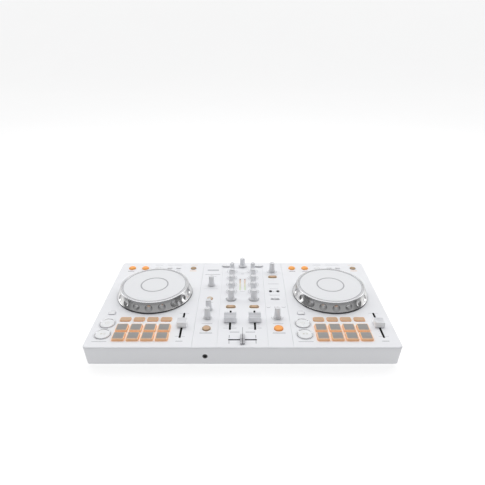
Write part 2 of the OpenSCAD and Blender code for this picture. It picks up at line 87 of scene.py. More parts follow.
CASE_LOW, CASE_HIGH = box("top_case")
PLATE = CASE_HIGH.z      # the top plate's face
FRONT = CASE_LOW.y
REAR = -FRONT
CASE_W = CASE_HIGH.x - CASE_LOW.x
CASE_D = CASE_HIGH.y - CASE_LOW.y
SKIRT_H = PLATE - CASE_LOW.z
SKIRT_LEAN = 3.3
CORNER_R = 7.0
WALL = 2.5
UNDER = PLATE - WALL
GAP = 0.3                # clearance between a key and the plate
DECK_X = middle("pads_right").x
SIDES = (("left", -1), ("right", 1))
KNOB_NODES = [n for n in frame["nodes"] if n.endswith("_knob")]


def from_front(y):
    """Row y of a distance from the case's front edge."""
    return FRONT + y


def lean(z):
    """How far the skirt stands in at a height."""
    return SKIRT_LEAN * (PLATE - z) / SKIRT_H


# ---------------------------------------------------------------- shapes

def rounded(width, depth, radius, corner=6):
    """A rounded rectangle seen from above, as a ring of (x, y) points."""
    radius = max(min(radius, width / 2 - 1e-4, depth / 2 - 1e-4), 0.01)
    ring = []
    for quarter, (sx, sy) in enumerate(((1, 1), (-1, 1), (-1, -1), (1, -1))):
        cx = sx * (width / 2 - radius)
        cy = sy * (depth / 2 - radius)
        for step in range(corner + 1):
            a = math.pi / 2 * (quarter + step / corner)
            ring.append((cx + radius * math.cos(a), cy + radius * math.sin(a)))
    return ring


def circle(radius, steps=48):
    return [(radius * math.cos(2 * math.pi * i / steps), radius * math.sin(2 * math.pi * i / steps))
            for i in range(steps)]


def rings_of(outline, section):
    """Rings of 3-D points: outline(grow) drawn at each (grow, z) of a section."""
    return [[(x, y, z) for x, y in outline(grow)] for grow, z in section]


def block_outline(width, depth, radius, corner=6):
    """The outline of a rounded rectangle, for rings_of."""
    return lambda grow: rounded(width + 2 * grow, depth + 2 * grow, radius + grow, corner)


def round_outline(radius):
    return lambda grow: circle(radius + grow)


def loft(rings, caps=True):
    """Joins rings of 3-D points, all of one length, into a skin, closed at both ends."""
    count = len(rings[0])
    points = [p for ring in rings for p in ring]
    faces = []
    for level in range(len(rings) - 1):
        for i in range(count):
            j = (i + 1) % count
            faces.append((level * count + i, level * count + j,
                          (level + 1) * count + j, (level + 1) * count + i))
    if caps:
        faces.append(tuple(reversed(range(count))))
        top = (len(rings) - 1) * count
        faces.append(tuple(range(top, top + count)))
    return points, faces


def loop_loft(rings):
    """Joins rings into a skin whose last ring meets its first, such as a frame or a pierced body."""
    points, faces = loft(rings, caps=False)
    count = len(rings[0])
    last = (len(rings) - 1) * count
    faces += [(last + k, last + (k + 1) % count, (k + 1) % count, k) for k in range(count)]
    return points, faces


def frame_band(outline, near, far, z, height, draft=0.0):
    """A thin frame round an outline, from near to far outside it. draft leans its outer side in."""
    return loop_loft(rings_of(outline, ((near, z), (far, z), (far - draft, z + height), (near, z + height))))


def lathe(profile, steps=48, wave=None):
    """Turns (radius, height) points round the Z axis. wave(angle, i) scales the radius of point i."""
    rings = []
    for i, (r, z) in enumerate(profile):
        ring = []
        for k in range(steps):
            a = 2 * math.pi * k / steps
            rr = max(r, 1e-3) * (wave(a, i) if wave else 1)
            ring.append((rr * math.cos(a), rr * math.sin(a), z))
        rings.append(ring)
    return loft(rings)


def solid(profile, steps=48, wave=None):
    """A lathe whose profile is closed to the axis, level with its first and its last point."""
    return lathe([(0, profile[0][1])] + profile + [(0, profile[-1][1])], steps, wave)


def stepped(radius, height, steps):
    """Profile points that stand (in, down) from a rim at a radius and a height."""
    return [(radius - inset, height - drop) for inset, drop in steps]


def fillet(z, radius, steps=4):
    """Levels (height, inset) of a rounded top edge that ends at height z."""
    levels = []
    for k in range(steps + 1):
        a = math.pi / 2 * k / steps
        levels.append((z - radius + radius * math.sin(a), radius * (1 - math.cos(a))))
    levels.append((z, radius + 0.06))
    return levels


def slab(width, depth, corner_r, levels, corner=6):
    """A rounded block whose outline stands in by each level's inset."""
    return loft(rings_of(block_outline(width, depth, corner_r, corner), [(-i, z) for z, i in levels]))


def key_block(width, depth, corner_r, z0, z1, edge):
    """A key's cap: straight sides and a rounded top edge."""
    return slab(width, depth, corner_r, [(z0, 0.0), (z0 + 0.05, 0.0)] + fillet(z1, edge))


def plaque(width, depth, radius, z0, z1, lip=0.0, lip_inset=0.1):
    """A plain block, with a small bevel of height lip on top."""
    levels = ((z0, 0), (z1, 0)) + (((z1 + lip, lip_inset),) if lip else ())
    return slab(width, depth, radius, levels)


class Shape:
    """Parts gathered into one mesh. ink is the number of the part's material."""

    def __init__(self):
        self.points, self.faces, self.inks = [], [], []

    def add(self, part, place=(0, 0, 0), turn=0.0, ink=0):
        """turn is about Z, in degrees."""
        points, faces = part
        start = len(self.points)
        c, s = math.cos(math.radians(turn)), math.sin(math.radians(turn))
        for x, y, z in points:
            self.points.append((x * c - y * s + place[0], x * s + y * c + place[1], z + place[2]))
        self.faces += [tuple(i + start for i in f) for f in faces]
        self.inks += [ink] * len(faces)
        return self

    def paint_bands(self, bands, steps, ink):
        """Gives an ink to whole bands, of steps faces each, of a shape that is one lathe."""
        for band in bands:
            self.inks[band * steps:(band + 1) * steps] = [ink] * steps

    def make(self, name, materials):
        mesh = bpy.data.meshes.new(name)
        mesh.from_pydata([Vector(p) * MM for p in self.points], [], self.faces)
        for material in materials:
            mesh.materials.append(material)
        for polygon, ink in zip(mesh.polygons, self.inks):
            polygon.material_index = ink
        mesh.update()
        bm = bmesh.new()
        bm.from_mesh(mesh)
        bmesh.ops.remove_doubles(bm, verts=bm.verts, dist=1e-7)
        bmesh.ops.dissolve_degenerate(bm, edges=bm.edges, dist=1e-7)
        bmesh.ops.recalc_face_normals(bm, faces=bm.faces)
        bm.to_mesh(mesh)
        bm.free()
        obj = bpy.data.objects.new(name, mesh)
        bpy.context.scene.collection.objects.link(obj)
        smooth(obj)
        return obj


def smooth(obj, angle=SMOOTH_ANGLE):
    obj.data.shade_smooth()
    obj.data.set_sharp_from_angle(angle=angle)


def cut(obj, cutter):
    """Takes the cutter's parts, which don't overlap each other, out of obj."""
    tool = cutter.make("cutter", [])
    modifier = obj.modifiers.new("cut", "BOOLEAN")
    modifier.operation, modifier.solver = "DIFFERENCE", "EXACT"
    modifier.object = tool
    graph = bpy.context.evaluated_depsgraph_get()
    mesh = bpy.data.meshes.new_from_object(obj.evaluated_get(graph))
    obj.modifiers.clear()
    old = obj.data
    obj.data = mesh
    bpy.data.meshes.remove(old)
    tool_mesh = tool.data
    bpy.data.objects.remove(tool)
    bpy.data.meshes.remove(tool_mesh)
    smooth(obj)


def put(shape, name, body, slot, materials, *nodes):
    """Makes a piece that rides on a body and stands for CAD nodes."""
    obj = shape.make(name, materials)
    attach(obj, body)
    if nodes:
        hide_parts(*nodes)
    return obj


def put_piece(shape, node, slot, materials, body=None):
    """Puts a piece that stands for one CAD node, takes its name and rides on its body."""
    put(shape, node + "_piece", body or node, slot, materials, node)


# ---------------------------------------------------------------- materials

class Nodes:
    """A few node steps on one material."""

    def __init__(self, name):
        self.material = bpy.data.materials.new(name)
        self.material.use_nodes = True
        self.tree = self.material.node_tree
        self.shader = self.tree.nodes["Principled BSDF"]
        self.place = self.add("ShaderNodeTexCoord").outputs["Object"]

    def add(self, kind, **settings):
        node = self.tree.nodes.new(kind)
        for key, value in settings.items():
            setattr(node, key, value)
        return node

    def link(self, a, b):
        self.tree.links.new(a, b)

    def noise(self, scale, detail=3.0, rough=0.55, stretch=(1, 1, 1)):
        """Noise with about scale bumps per metre."""
        mapping = self.add("ShaderNodeMapping")
        mapping.inputs["Scale"].default_value = stretch
        node = self.add("ShaderNodeTexNoise")
        node.inputs["Scale"].default_value = scale
        node.inputs["Detail"].default_value = detail
        node.inputs["Roughness"].default_value = rough
        self.link(self.place, mapping.inputs["Vector"])
        self.link(mapping.outputs["Vector"], node.inputs["Vector"])
        return node.outputs["Fac"]

    def remap(self, value, low, high, from_low=0.3, from_high=0.7):
        node = self.add("ShaderNodeMapRange")
        limits = {"From Min": from_low, "From Max": from_high, "To Min": low, "To Max": high}
        for key, limit in limits.items():
            node.inputs[key].default_value = limit
        self.link(value, node.inputs["Value"])
        return node.outputs["Result"]

    def maths(self, kind, a, b=None):
        """A Math node on sockets or numbers."""
        node = self.add("ShaderNodeMath", operation=kind)
        for socket, value in zip(node.inputs, (a, b)):
            if isinstance(value, (int, float)):
                socket.default_value = value
            elif value is not None:
                self.link(value, socket)
        return node.outputs[0]

    def vector(self, kind, a, fixed=None):
        """A Vector Math node on a socket and, where it takes one, a fixed vector."""
        node = self.add("ShaderNodeVectorMath", operation=kind)
        self.link(a, node.inputs[0])
        if fixed:
            node.inputs[1].default_value = fixed
        return node.outputs["Value" if kind == "LENGTH" else "Vector"]

    def from_centre(self, centre):
        """X, Y and Z sockets of the place, measured from a centre in millimetres."""
        split = self.add("ShaderNodeSeparateXYZ")
        self.link(self.vector("SUBTRACT", self.place, [c * MM for c in centre]), split.inputs["Vector"])
        return split.outputs

    def mix(self, fac, a, b):
        node = self.add("ShaderNodeMix", data_type="RGBA")
        for socket, value in ((node.inputs[6], a), (node.inputs[7], b)):
            if isinstance(value, tuple):
                socket.default_value = (*value, 1)
            else:
                self.link(value, socket)
        self.link(fac, node.inputs[0])
        return node.outputs[2]

    def bump(self, height, strength, distance):
        node = self.add("ShaderNodeBump")
        node.inputs["Strength"].default_value = strength
        node.inputs["Distance"].default_value = distance
        self.link(height, node.inputs["Height"])
        if self.shader.inputs["Normal"].is_linked:
            self.link(self.shader.inputs["Normal"].links[0].from_socket, node.inputs["Normal"])
        self.link(node.outputs["Normal"], self.shader.inputs["Normal"])

    def paint(self, colour, rough, **fixed):
        """colour is a socket or a colour; rough is a socket or a number."""
        for key, value in (("Base Color", colour), ("Roughness", rough)):
            if isinstance(value, tuple):
                self.shader.inputs[key].default_value = (*value, 1)
            elif isinstance(value, float):
                self.shader.inputs[key].default_value = value
            else:
                self.link(value, self.shader.inputs[key])
        for key, value in fixed.items():
            socket = self.shader.inputs[key.replace("_", " ")]
            socket.default_value = (*value, 1) if isinstance(value, tuple) else value
        return self.material


def shade(colour, factor):
    return tuple(min(c * factor, 1.0) for c in colour)


def plastic(name, colour, rough=0.42, spread=0.03, grain=3200, relief=0.00003, **fixed):
    """Moulded plastic: slight mottling, uneven gloss and a fine spark-eroded grain."""
    n = Nodes(name)
    mottle = n.noise(28, 4)
    tone = n.mix(mottle, shade(colour, 1 - spread), shade(colour, 1 + spread))
    gloss = n.remap(n.noise(90, 3), rough - 0.04, rough + 0.05)
    n.bump(n.noise(grain, 2, 0.6), 0.35, relief)
    return n.paint(tone, gloss, **fixed)


def lit_plastic(name, colour, glow, strength, rough=0.35):
    """Translucent moulding lit from below: brighter in the middle of the mottling."""
    n = Nodes(name)
    cloud = n.noise(160, 3)
    tone = n.mix(cloud, shade(colour, 0.92), shade(colour, 1.05))
    warm = n.mix(n.noise(70, 2), shade(glow, 0.85), shade(glow, 1.1))
    n.link(warm, n.shader.inputs["Emission Color"])
    n.bump(n.noise(2600, 2), 0.25, 0.00003)
    return n.paint(tone, n.remap(n.noise(120, 2), rough - 0.05, rough + 0.06),
                   Emission_Strength=strength, Subsurface_Weight=0.15, Subsurface_Scale=0.002)


def metal(name, colour, rough):
    n = Nodes(name)
    lines = n.noise(900, 3, 0.6)
    tone = n.mix(n.noise(60, 3), shade(colour, 0.94), shade(colour, 1.05))
    n.bump(lines, 0.3, 0.000015)
    return n.paint(tone, n.remap(lines, rough - 0.03, rough + 0.05), Metallic=1.0)


def rubber(name, colour, rough=0.62):
    n = Nodes(name)
    tone = n.mix(n.noise(140, 4), shade(colour, 0.94), shade(colour, 1.06))
    n.bump(n.noise(2400, 3, 0.65), 0.45, 0.00006)
    return n.paint(tone, n.remap(n.noise(300, 3), rough - 0.06, rough + 0.08),
                   Specular_IOR_Level=0.35)


def spun(name, colour, rough, centre):
    """A face turned on a lathe: fine rings round a centre given in millimetres."""
    n = Nodes(name)
    place = n.from_centre(centre)
    level = n.add("ShaderNodeCombineXYZ")
    n.link(place["X"], level.inputs["X"])
    n.link(place["Y"], level.inputs["Y"])
    rings = n.add("ShaderNodeTexNoise", noise_dimensions="1D")
    rings.inputs["Scale"].default_value = 900
    rings.inputs["Detail"].default_value = 3
    n.link(n.vector("LENGTH", level.outputs["Vector"]), rings.inputs["W"])
    tone = n.mix(rings.outputs["Fac"], shade(colour, 0.965), shade(colour, 1.03))
    n.bump(rings.outputs["Fac"], 0.5, 0.00001)
    return n.paint(tone, n.remap(rings.outputs["Fac"], rough - 0.05, rough + 0.06))


def set_ramp(ramp, levels, tint=(1, 1, 1)):
    """Gives a colour ramp its stops, as (place from 0 to 1, brightness)."""
    stops = ramp.color_ramp.elements
    for at, value in levels:
        stop = stops[0] if at == 0 else stops[len(stops) - 1] if at == 1 else stops.new(at)
        stop.color = (*(t * value for t in tint), 1)


DIMPLES = 18
# Painted shade on the plating, against distance from a dimple's centre: 0 bright, 1 dark, a dark halo round
# a light middle.
DIMPLE_SHADE_TONES = ((0.0, 0.0), (0.2, 0.1), (0.48, 0.6), (0.74, 0.95), (0.86, 0.8), (0.97, 0.12), (1.0, 0.1))
DIMPLE_SHADE_REACH = 7.2       # how far from its centre a dimple's painted shade reaches, in millimetres
DIMPLE_SHADE_DROP = 0.7        # how far the centre of a dimple's painted dark halo sits below the dimple's
CROWN = 0.13             # how far the shading normal of the plating is tipped upwards


def plated(name, centre, radius, stretch):
    """Bright plating with painted shade: a dark halo round each finger dimple on a wheel's side, strongest
    at its upper rim.

    centre is the middle of the ring of dimples and radius its size, in millimetres. stretch is how
    much longer the leaning side is than it is high.
    """
    n = Nodes(name)
    maths = n.maths
    place = n.from_centre(centre)
    angle = maths("ARCTAN2", place["Y"], place["X"])
    off = maths("SUBTRACT", maths("FRACT", maths("MULTIPLY", angle, DIMPLES / (2 * math.pi))), 0.5)
    arc = maths("MULTIPLY", off, 2 * math.pi / DIMPLES * radius)
    rise = maths("MULTIPLY", place["Z"], stretch / MM)
    low_rise = maths("ADD", rise, DIMPLE_SHADE_DROP)
    far = maths("SQRT", maths("ADD", maths("MULTIPLY", arc, arc), maths("MULTIPLY", low_rise, low_rise)))
    ramp = n.add("ShaderNodeValToRGB")
    set_ramp(ramp, DIMPLE_SHADE_TONES)
    n.link(maths("MULTIPLY", far, 1 / DIMPLE_SHADE_REACH), ramp.inputs["Fac"])
    # Painted shade: the halo fades lower down the side, and the upper side is darkened as a whole.
    halo = maths("MULTIPLY", ramp.outputs["Color"], n.remap(rise, 0.3, 1.0, -4.5, 0.5))
    dark = maths("MAXIMUM", halo, n.remap(rise, 0.0, 0.45, 1.5, 7.0))
    tone = n.mix(dark, (0.78, 0.775, 0.77), (0.24, 0.24, 0.245))
    tipped = n.vector("ADD", n.add("ShaderNodeNewGeometry").outputs["Normal"], (0, 0, CROWN))
    n.link(n.vector("NORMALIZE", tipped), n.shader.inputs["Normal"])
    grain = n.noise(900, 3, 0.6, (1, 1, 0.1))
    n.bump(grain, 0.3, 0.000015)
    return n.paint(tone, n.remap(grain, 0.11, 0.19), Metallic=1.0)


WHITE = plastic("white_shell", (0.745, 0.75, 0.77), 0.46, 0.015)
BASE = plastic("base_shell", (0.62, 0.63, 0.65), 0.5, 0.03)
FOOT = rubber("foot_rubber", (0.035, 0.035, 0.038), 0.7)
KNOB = rubber("knob_soft_touch", (0.82, 0.825, 0.845), 0.45)
KNOB_SKIRT = plastic("knob_skirt", (0.66, 0.665, 0.68), 0.38)
KNOB_TOP = plastic("knob_top", (0.64, 0.645, 0.66), 0.45)
KNOB_LINE = plastic("knob_line", (0.50, 0.50, 0.52), 0.45)
POINTER = plastic("pointer_paint", (0.62, 0.62, 0.64), 0.4)
# Fader caps: lighter front and back faces and darker tops of one plastic, painted light and painted shade
# that even out how light falls on them. cap_light is also the effect switch's own white.
CAP_LIGHT = plastic("cap_light", (0.96, 0.965, 0.98), 0.4)
CAP_PALE_TOP_PAINTED_SHADE = plastic("cap_pale", (0.70, 0.705, 0.725), 0.42)
CAP_SIDE_PAINTED_LIGHT = plastic("cap_side", (0.94, 0.945, 0.975), 0.4)
CAP_TOP_PAINTED_SHADE = plastic("cap_grey", (0.54, 0.545, 0.57), 0.45)
CAP_DARK = plastic("cap_dark", (0.48, 0.48, 0.50), 0.4)
CAP_LINE = plastic("cap_line", (0.04, 0.04, 0.045), 0.45)
KEY_WHITE = plastic("key_white", (0.74, 0.745, 0.755), 0.25, 0.01)
KEY_PRINT = plastic("key_print", (0.50, 0.49, 0.44), 0.4)
KEY_RIM = metal("key_rim", (0.56, 0.56, 0.57), 0.22)
KEY_GREY = plastic("key_grey_edge", (0.60, 0.60, 0.62), 0.4)
KEY_EDGE = plastic("key_pale_edge", (0.72, 0.72, 0.74), 0.4)
KEY_DARK = rubber("key_dark", (0.045, 0.045, 0.05), 0.5)
LIT_ORANGE = lit_plastic("lit_orange", (0.80, 0.33, 0.07), (1.0, 0.36, 0.04), 0.15)
LIT_TAN = lit_plastic("lit_tan", (0.46, 0.31, 0.20), (1.0, 0.45, 0.18), 0.10)
LIT_AMBER = lit_plastic("lit_amber", (0.68, 0.27, 0.06), (1.0, 0.30, 0.03), 0.12)
LIT_AMBER_SOFT = lit_plastic("lit_amber_soft", (0.62, 0.36, 0.20), (1.0, 0.42, 0.18), 0.14)
LIT_CREAM = lit_plastic("lit_cream", (0.50, 0.47, 0.40), (1.0, 0.88, 0.65), 0.06)
LIT_BROWN = lit_plastic("lit_brown", (0.34, 0.24, 0.14), (1.0, 0.5, 0.2), 0.04)
PAD_TOP = rubber("pad_top", (0.27, 0.26, 0.25), 0.55)
PAD_EDGE = lit_plastic("pad_edge", (0.36, 0.28, 0.22), (1.0, 0.40, 0.16), 0.06)
PAD_SIDE = lit_plastic("pad_side", (0.66, 0.42, 0.26), (1.0, 0.48, 0.22), 0.26)
PRINT = plastic("print_grey", (0.26, 0.26, 0.28), 0.5)
PRINT_AMBER = plastic("print_amber", (0.70, 0.42, 0.22), 0.5)
PRINT_LIGHT = plastic("print_light", (0.44, 0.44, 0.47), 0.5)
# The wheel's rim is plated darker than the bright plating of its side: painted shade that holds down the
# highlight on its rounded edge.
JOG_RIM_PAINTED_SHADE = metal("jog_rim_plating", (0.56, 0.56, 0.57), 0.2)
JOG_FOOT = plastic("jog_foot", (0.035, 0.035, 0.04), 0.6, Specular_IOR_Level=0.15)
SPILL = lit_plastic("light_spill", (0.86, 0.68, 0.57), (1.0, 0.60, 0.40), 0.2)
SPILL_PALE = lit_plastic("light_spill_pale", (0.82, 0.76, 0.72), (1.0, 0.75, 0.55), 0.08)
SLOT_BLACK = plastic("dust_shield", (0.006, 0.006, 0.007), 0.8)
BOARD = plastic("solder_mask", (0.02, 0.11, 0.05), 0.35)
STEEL = metal("stamped_steel", (0.55, 0.55, 0.55), 0.32)
SOCKET = plastic("socket_black", (0.02, 0.02, 0.022), 0.3)
PLATING = metal("socket_plating", (0.62, 0.61, 0.58), 0.2)
METER_BODY = plastic("meter_lens", (0.74, 0.72, 0.66), 0.25)
METER_RED = lit_plastic("meter_red", (0.28, 0.17, 0.14), (1.0, 0.25, 0.15), 0.06)
METER_ORANGE = lit_plastic("meter_orange", (0.64, 0.50, 0.39), (1.0, 0.5, 0.25), 0.1)
METER_YELLOW = lit_plastic("meter_yellow", (0.68, 0.65, 0.48), (1.0, 0.85, 0.4), 0.1)
METER_GREEN = lit_plastic("meter_green", (0.66, 0.73, 0.53), (0.7, 1.0, 0.4), 0.1)


# ---------------------------------------------------------------- case

SHAFT_HOLE_R = 4.2
TRANSPORT_R = 12.3
ROUND_KEYS = {"fx_on_button": 7.3, "smart_fader_button": 6.5, "master_cue_button": 5.0}
PILL_KEYS = ("ch1_cue_button", "ch2_cue_button", "fx_select_button")
PILL = (16.4, 7.5)
LOAD = (16.4, 9.4)
SHIFT = (10.0, 8.0)
LOOP_ROUND = ((-60.2, 6.5), (-34.5, 6.5), (-9.5, 5.5), (60.7, 5.5))   # off the deck's middle, radius
CALL_DX = (14.0, 31.0)
CALL = (9.0, 5.0)
PAD_W = 18.4
PAD_PITCH = 22.2
PAD_ROWS = 22.0
MODE = (17.5, 10.8)
COLUMNS = (-1.5, -0.5, 0.5, 1.5)
BEAT_R = 2.6
BEAT_DX = 6.7
METER_DX = 4.4
METER_L = 40.0
SIDE_X = middle("fx_level_knob").x
SLOTS = {"ch1_fader": (2.8, 54, 1.25), "ch2_fader": (2.8, 54, 1.25),   # width, depth, corner
         "tempo_slider_left": (2.8, 67.6, 1.25), "tempo_slider_right": (2.8, 67.6, 1.25),
         "crossfader": (44, 2.2, 1.0)}
REAR_Z = 18.0
LOCK_X = -200.0
LOCK_Z = 22.0
RCA_DX = 9.0
SEAMS = ((39, 0.6, 0.45), (77, 0.9, 0.7))    # x, width and depth of the grooves between the fields
SCREWS = [(x, from_front(y)) for x in (-231, -79, 79, 231) for y in (10, 136, 262.4)]
FEET = [(x, from_front(y)) for x in (-205, 0, 205) for y in (34, 238)]
TRAY_INSET = 6.15


def pad_places(side):
    x, y, _ = flat(f"pads_{side}")
    return [(x + i * PAD_PITCH, y + j * PAD_ROWS, 0) for i in COLUMNS for j in (-0.5, 0.5)]


def mode_places(side):
    x, y = flat(f"pads_{side}")[0], flat(f"mode_buttons_{side}")[1]
    return [(x + i * PAD_PITCH, y, 0) for i in COLUMNS]


def loop_places(side, offsets):
    x, y = flat(f"pads_{side}")[0], flat(f"loop_buttons_{side}")[1]
    return [(x + dx, y, 0) for dx in offsets]


def opening(outline, flare=0.35):
    """A cutter through the plate, flared at the plate's face."""
    return loft(rings_of(outline, ((0, UNDER - 1.5), (0, PLATE - flare), (flare, PLATE),
                                   (flare + 1, PLATE + 1))))


def key_opening(size, radius, gap=GAP):
    return opening(block_outline(size[0] + 2 * gap, size[1] + 2 * gap, radius))


def plate_cutters():
    s = Shape()
    for node in KNOB_NODES:
        s.add(opening(round_outline(SHAFT_HOLE_R)), flat(node))
    for node, slot in SLOTS.items():
        s.add(opening(block_outline(*slot)), flat(node))
    for node, radius in ROUND_KEYS.items():
        s.add(opening(round_outline(radius + GAP)), flat(node))
    for node in PILL_KEYS:
        s.add(key_opening(PILL, 5), flat(node))
    s.add(key_opening((14.4, 3.8), 0.6, 0), flat("fx_channel_switch"))
    beat, meter = flat("beat_buttons"), flat("level_meter")
    for side, sign in SIDES:
        for key in ("play", "cue"):
            s.add(opening(round_outline(TRANSPORT_R + GAP)), flat(f"{key}_button_{side}"))
        s.add(key_opening(SHIFT, 1.3), flat(f"shift_button_{side}"))
        s.add(key_opening(LOAD, 5), flat(f"load_button_{side}"))
        for place in mode_places(side):
            s.add(key_opening(MODE, 2.6), place)
        for place in pad_places(side):
            s.add(key_opening((PAD_W, PAD_W), 1.8), place)
        for place, (_, radius) in zip(loop_places(side, [dx for dx, _ in LOOP_ROUND]), LOOP_ROUND):
            s.add(opening(round_outline(radius + GAP)), place)
        for place in loop_places(side, CALL_DX):
            s.add(key_opening(CALL, 1.2), place)
        wheel = flat(f"jog_wheel_{side}")
        s.add(opening(round_outline(8)), wheel)
        s.add(key_opening((7, 9.4), 0.3, 0), (wheel[0], wheel[1] + 34.5, 0))
        s.add(key_opening((3.1, METER_L + 0.4), 0.6, 0), (sign * METER_DX, meter[1], 0))
        s.add(opening(round_outline(BEAT_R + GAP)), (beat[0] + sign * BEAT_DX, beat[1], 0))
    return s


def along_y(ring, y0, y1):
    """A bar along Y of an outline in X and Z."""
    return loft([[(x, y, z) for x, z in ring] for y in (y0, y1)])


def skirt_cutters():
    rear_openings = ((middle("mic_jack").x, REAR_Z, circle(6.2, 40)),
                     (middle("rca_jacks").x - RCA_DX, REAR_Z, circle(6.6, 40)),
                     (middle("rca_jacks").x + RCA_DX, REAR_Z, circle(6.6, 40)),
                     (middle("usb_port").x, REAR_Z, rounded(9.8, 4.0, 1.9)),
                     (LOCK_X, LOCK_Z, rounded(7, 3, 0.8)))
    s = Shape().add(along_y(circle(4.1, 32), FRONT - 1, FRONT + 7),
                    (middle("phones_jack").x, 0, PLATE - 17.2))
    for x, z, ring in rear_openings:
        s.add(along_y(ring, REAR - 8, REAR + 1), (x, 0, z))
    return s


def seam_cutters():
    s = Shape()
    for x, width, depth in SEAMS:
        groove = [(-width / 2, PLATE + 0.5), (-width / 2, PLATE), (0, PLATE - depth), (width / 2, PLATE),
                  (width / 2, PLATE + 0.5)]
        for sign in (-1, 1):
            s.add(along_y(groove, FRONT - 1, REAR + 1), (sign * x, 0, 0))
    return s


def top_case():
    """One moulding: plate and leaning skirt, hollow below, with every opening cut and edged."""
    low, edge, lip = CASE_LOW.z, 1.5, 0.4
    inside = ((UNDER, WALL + 0.5), (UNDER - 0.5, WALL), (low, WALL))
    skirt = ((low, lip), (low + lip, 0), (PLATE - edge - 6, 0))
    section = [(-lean(z) - inset, z) for z, inset in inside + skirt]
    section += [(-(lean(z) if z < PLATE - edge else 0) - inset, z) for z, inset in fillet(PLATE, edge, 5)]
    shell = Shape().add(loft(rings_of(block_outline(CASE_W, CASE_D, CORNER_R, 10), section)))
    case = put(shell, "case_shell", "case", "white_shell", [WHITE], "top_case")
    for cutters in (plate_cutters(), skirt_cutters(), seam_cutters()):
        cut(case, cutters)


def well(profile, low, steps):
    """A round hole sunk into the tray from below, from its (radius, height over the base) points."""
    return solid([(r, low + z) for r, z in profile], steps)


def bottom_case():
    """The tray under the skirt, with wells for its screws and feet and a row of cooling slots."""
    low = box("bottom_case")[0].z
    floor, wall_top = low + WALL, CASE_LOW.z + 1
    levels = ((floor, 2.5), (floor + 0.5, 2), (wall_top, 2), (wall_top, 0.2), (wall_top - 0.2, 0),
              (low + 1.2, 0), (low + 0.35, 0.35), (low, 1.2), (low, 1.3))
    tray = Shape().add(slab(CASE_W - 2 * TRAY_INSET, CASE_D - 2 * TRAY_INSET, 2.5, levels, 8))
    case = put(tray, "case_tray", "case", "base_shell", [BASE], "bottom_case")
    wells = Shape()
    for x, y in SCREWS:
        wells.add(well([(3.1, -1), (3.1, 2.2)], low, 32), (x, y, 0))
    for x, y in FEET:
        wells.add(well([(9.6, -1), (9.2, 0.3), (9.2, 0.9)], low, 48), (x, y, 0))
    for i in range(-7, 8):
        for y in (-60, 60):
            wells.add(slab(2.4, 26, 1.2, ((low - 1, 0), (floor + 1, 0))), (i * 9, y, 0))
    cut(case, wells)


def rubber_feet():
    shape = Shape()
    top = size_of("rubber_feet").z
    profile = [(3.5, 0.5), (4.2, 0), (7.6, 0), (8.3, 0.25), (8.7, 0.9), (8.95, 1.6), (9, 2.4), (9, top)]
    for x, y in FEET:
        shape.add(solid(profile), (x, y, 0))
    put(shape, "feet", "case", "feet_rubber", [FOOT], "rubber_feet")


# ---------------------------------------------------------------- jog wheels

DIMPLE_R = 6.4
DIMPLE_DEPTH = 1.25
DIMPLE_FLOOR = 1.2       # radius of a dimple's flat floor
SLOPE_ROWS = 34
DIMPLE_COLUMNS = 30      # mesh columns to a dimple


def jog_wheel(side):
    """The plated wheel: a dark foot ring, a leaning side with round finger dimples and a fine rim."""
    node = f"jog_wheel_{side}"
    centre = flat(node)
    low, high = box(node)
    foot, rim = low.z, high.z
    foot_r = size_of(node).x / 2 + 0.04
    mid_r = foot_r - 3
    top_r = foot_r - 5.6
    ledge = rim - 2.6
    slope_low = Vector((foot_r - 0.7, foot + 2.3))
    slope_high = Vector((top_r, rim - 1.8))
    run = slope_high - slope_low
    inward = Vector((-run.y, run.x)).normalized()
    steps = DIMPLES * DIMPLE_COLUMNS
    angles = [2 * math.pi * k / steps for k in range(steps)]

    def level_ring(r, z):
        return [(r * math.cos(a), r * math.sin(a), z) for a in angles]

    def dimple(angle, along):
        pitch = 2 * math.pi / DIMPLES
        off = (angle / pitch) % 1 - 0.5
        d = math.hypot(off * pitch * mid_r, along - run.length * 0.5)
        wall = min(max(d - DIMPLE_FLOOR, 0.0) / (DIMPLE_R - DIMPLE_FLOOR), 1.0)
        return DIMPLE_DEPTH * (0.5 + 0.5 * math.cos(math.pi * wall))

    below = [(6.1, foot + 1), (12, foot + 1), (12, ledge - 2.4), (top_r - 2.8, ledge - 2.4),
             (foot_r - 3.4, foot + 0.2), (foot_r - 3.2, foot), (foot_r - 0.25, foot),
             (foot_r, foot + 0.25), (foot_r, foot + 1.7), (foot_r - 0.3, foot + 2.0)]
    above = stepped(top_r, rim, ((0.25, 1.1), (0.6, 0.45), (1.1, 0.1), (1.6, 0), (3.0, 0), (3.3, 0.12),
                                 (3.5, 0.4)))
    above += [(top_r - 3.5, ledge), (10, ledge), (10, ledge - 3), (6.1, ledge - 3)]
    rings = [level_ring(r, z) for r, z in below]
    for row in range(SLOPE_ROWS + 1):
        share = row / SLOPE_ROWS
        r, z = slope_low + run * share
        line = []
        for a in angles:
            depth = dimple(a, run.length * share)
            rr = r + inward.x * depth
            line.append((rr * math.cos(a), rr * math.sin(a), z + inward.y * depth))
        rings.append(line)
    rings += [level_ring(r, z) for r, z in above]
    shape = Shape().add(loop_loft(rings), centre)
    shape.paint_bands(range(4, 9), steps, 1)
    shape.paint_bands(range(len(below) + SLOPE_ROWS, len(rings)), steps, 2)
    # The plating's colour carries painted shade round the dimples and up the side.
    plating = plated(f"jog_plating_{side}", (centre[0], centre[1], (slope_low.y + slope_high.y) / 2),
                     mid_r, run.length / run.y)
    put(shape, f"jog_{side}_wheel", f"jog_{side}", "jog_metallic", [plating, JOG_FOOT, JOG_RIM_PAINTED_SHADE], node)


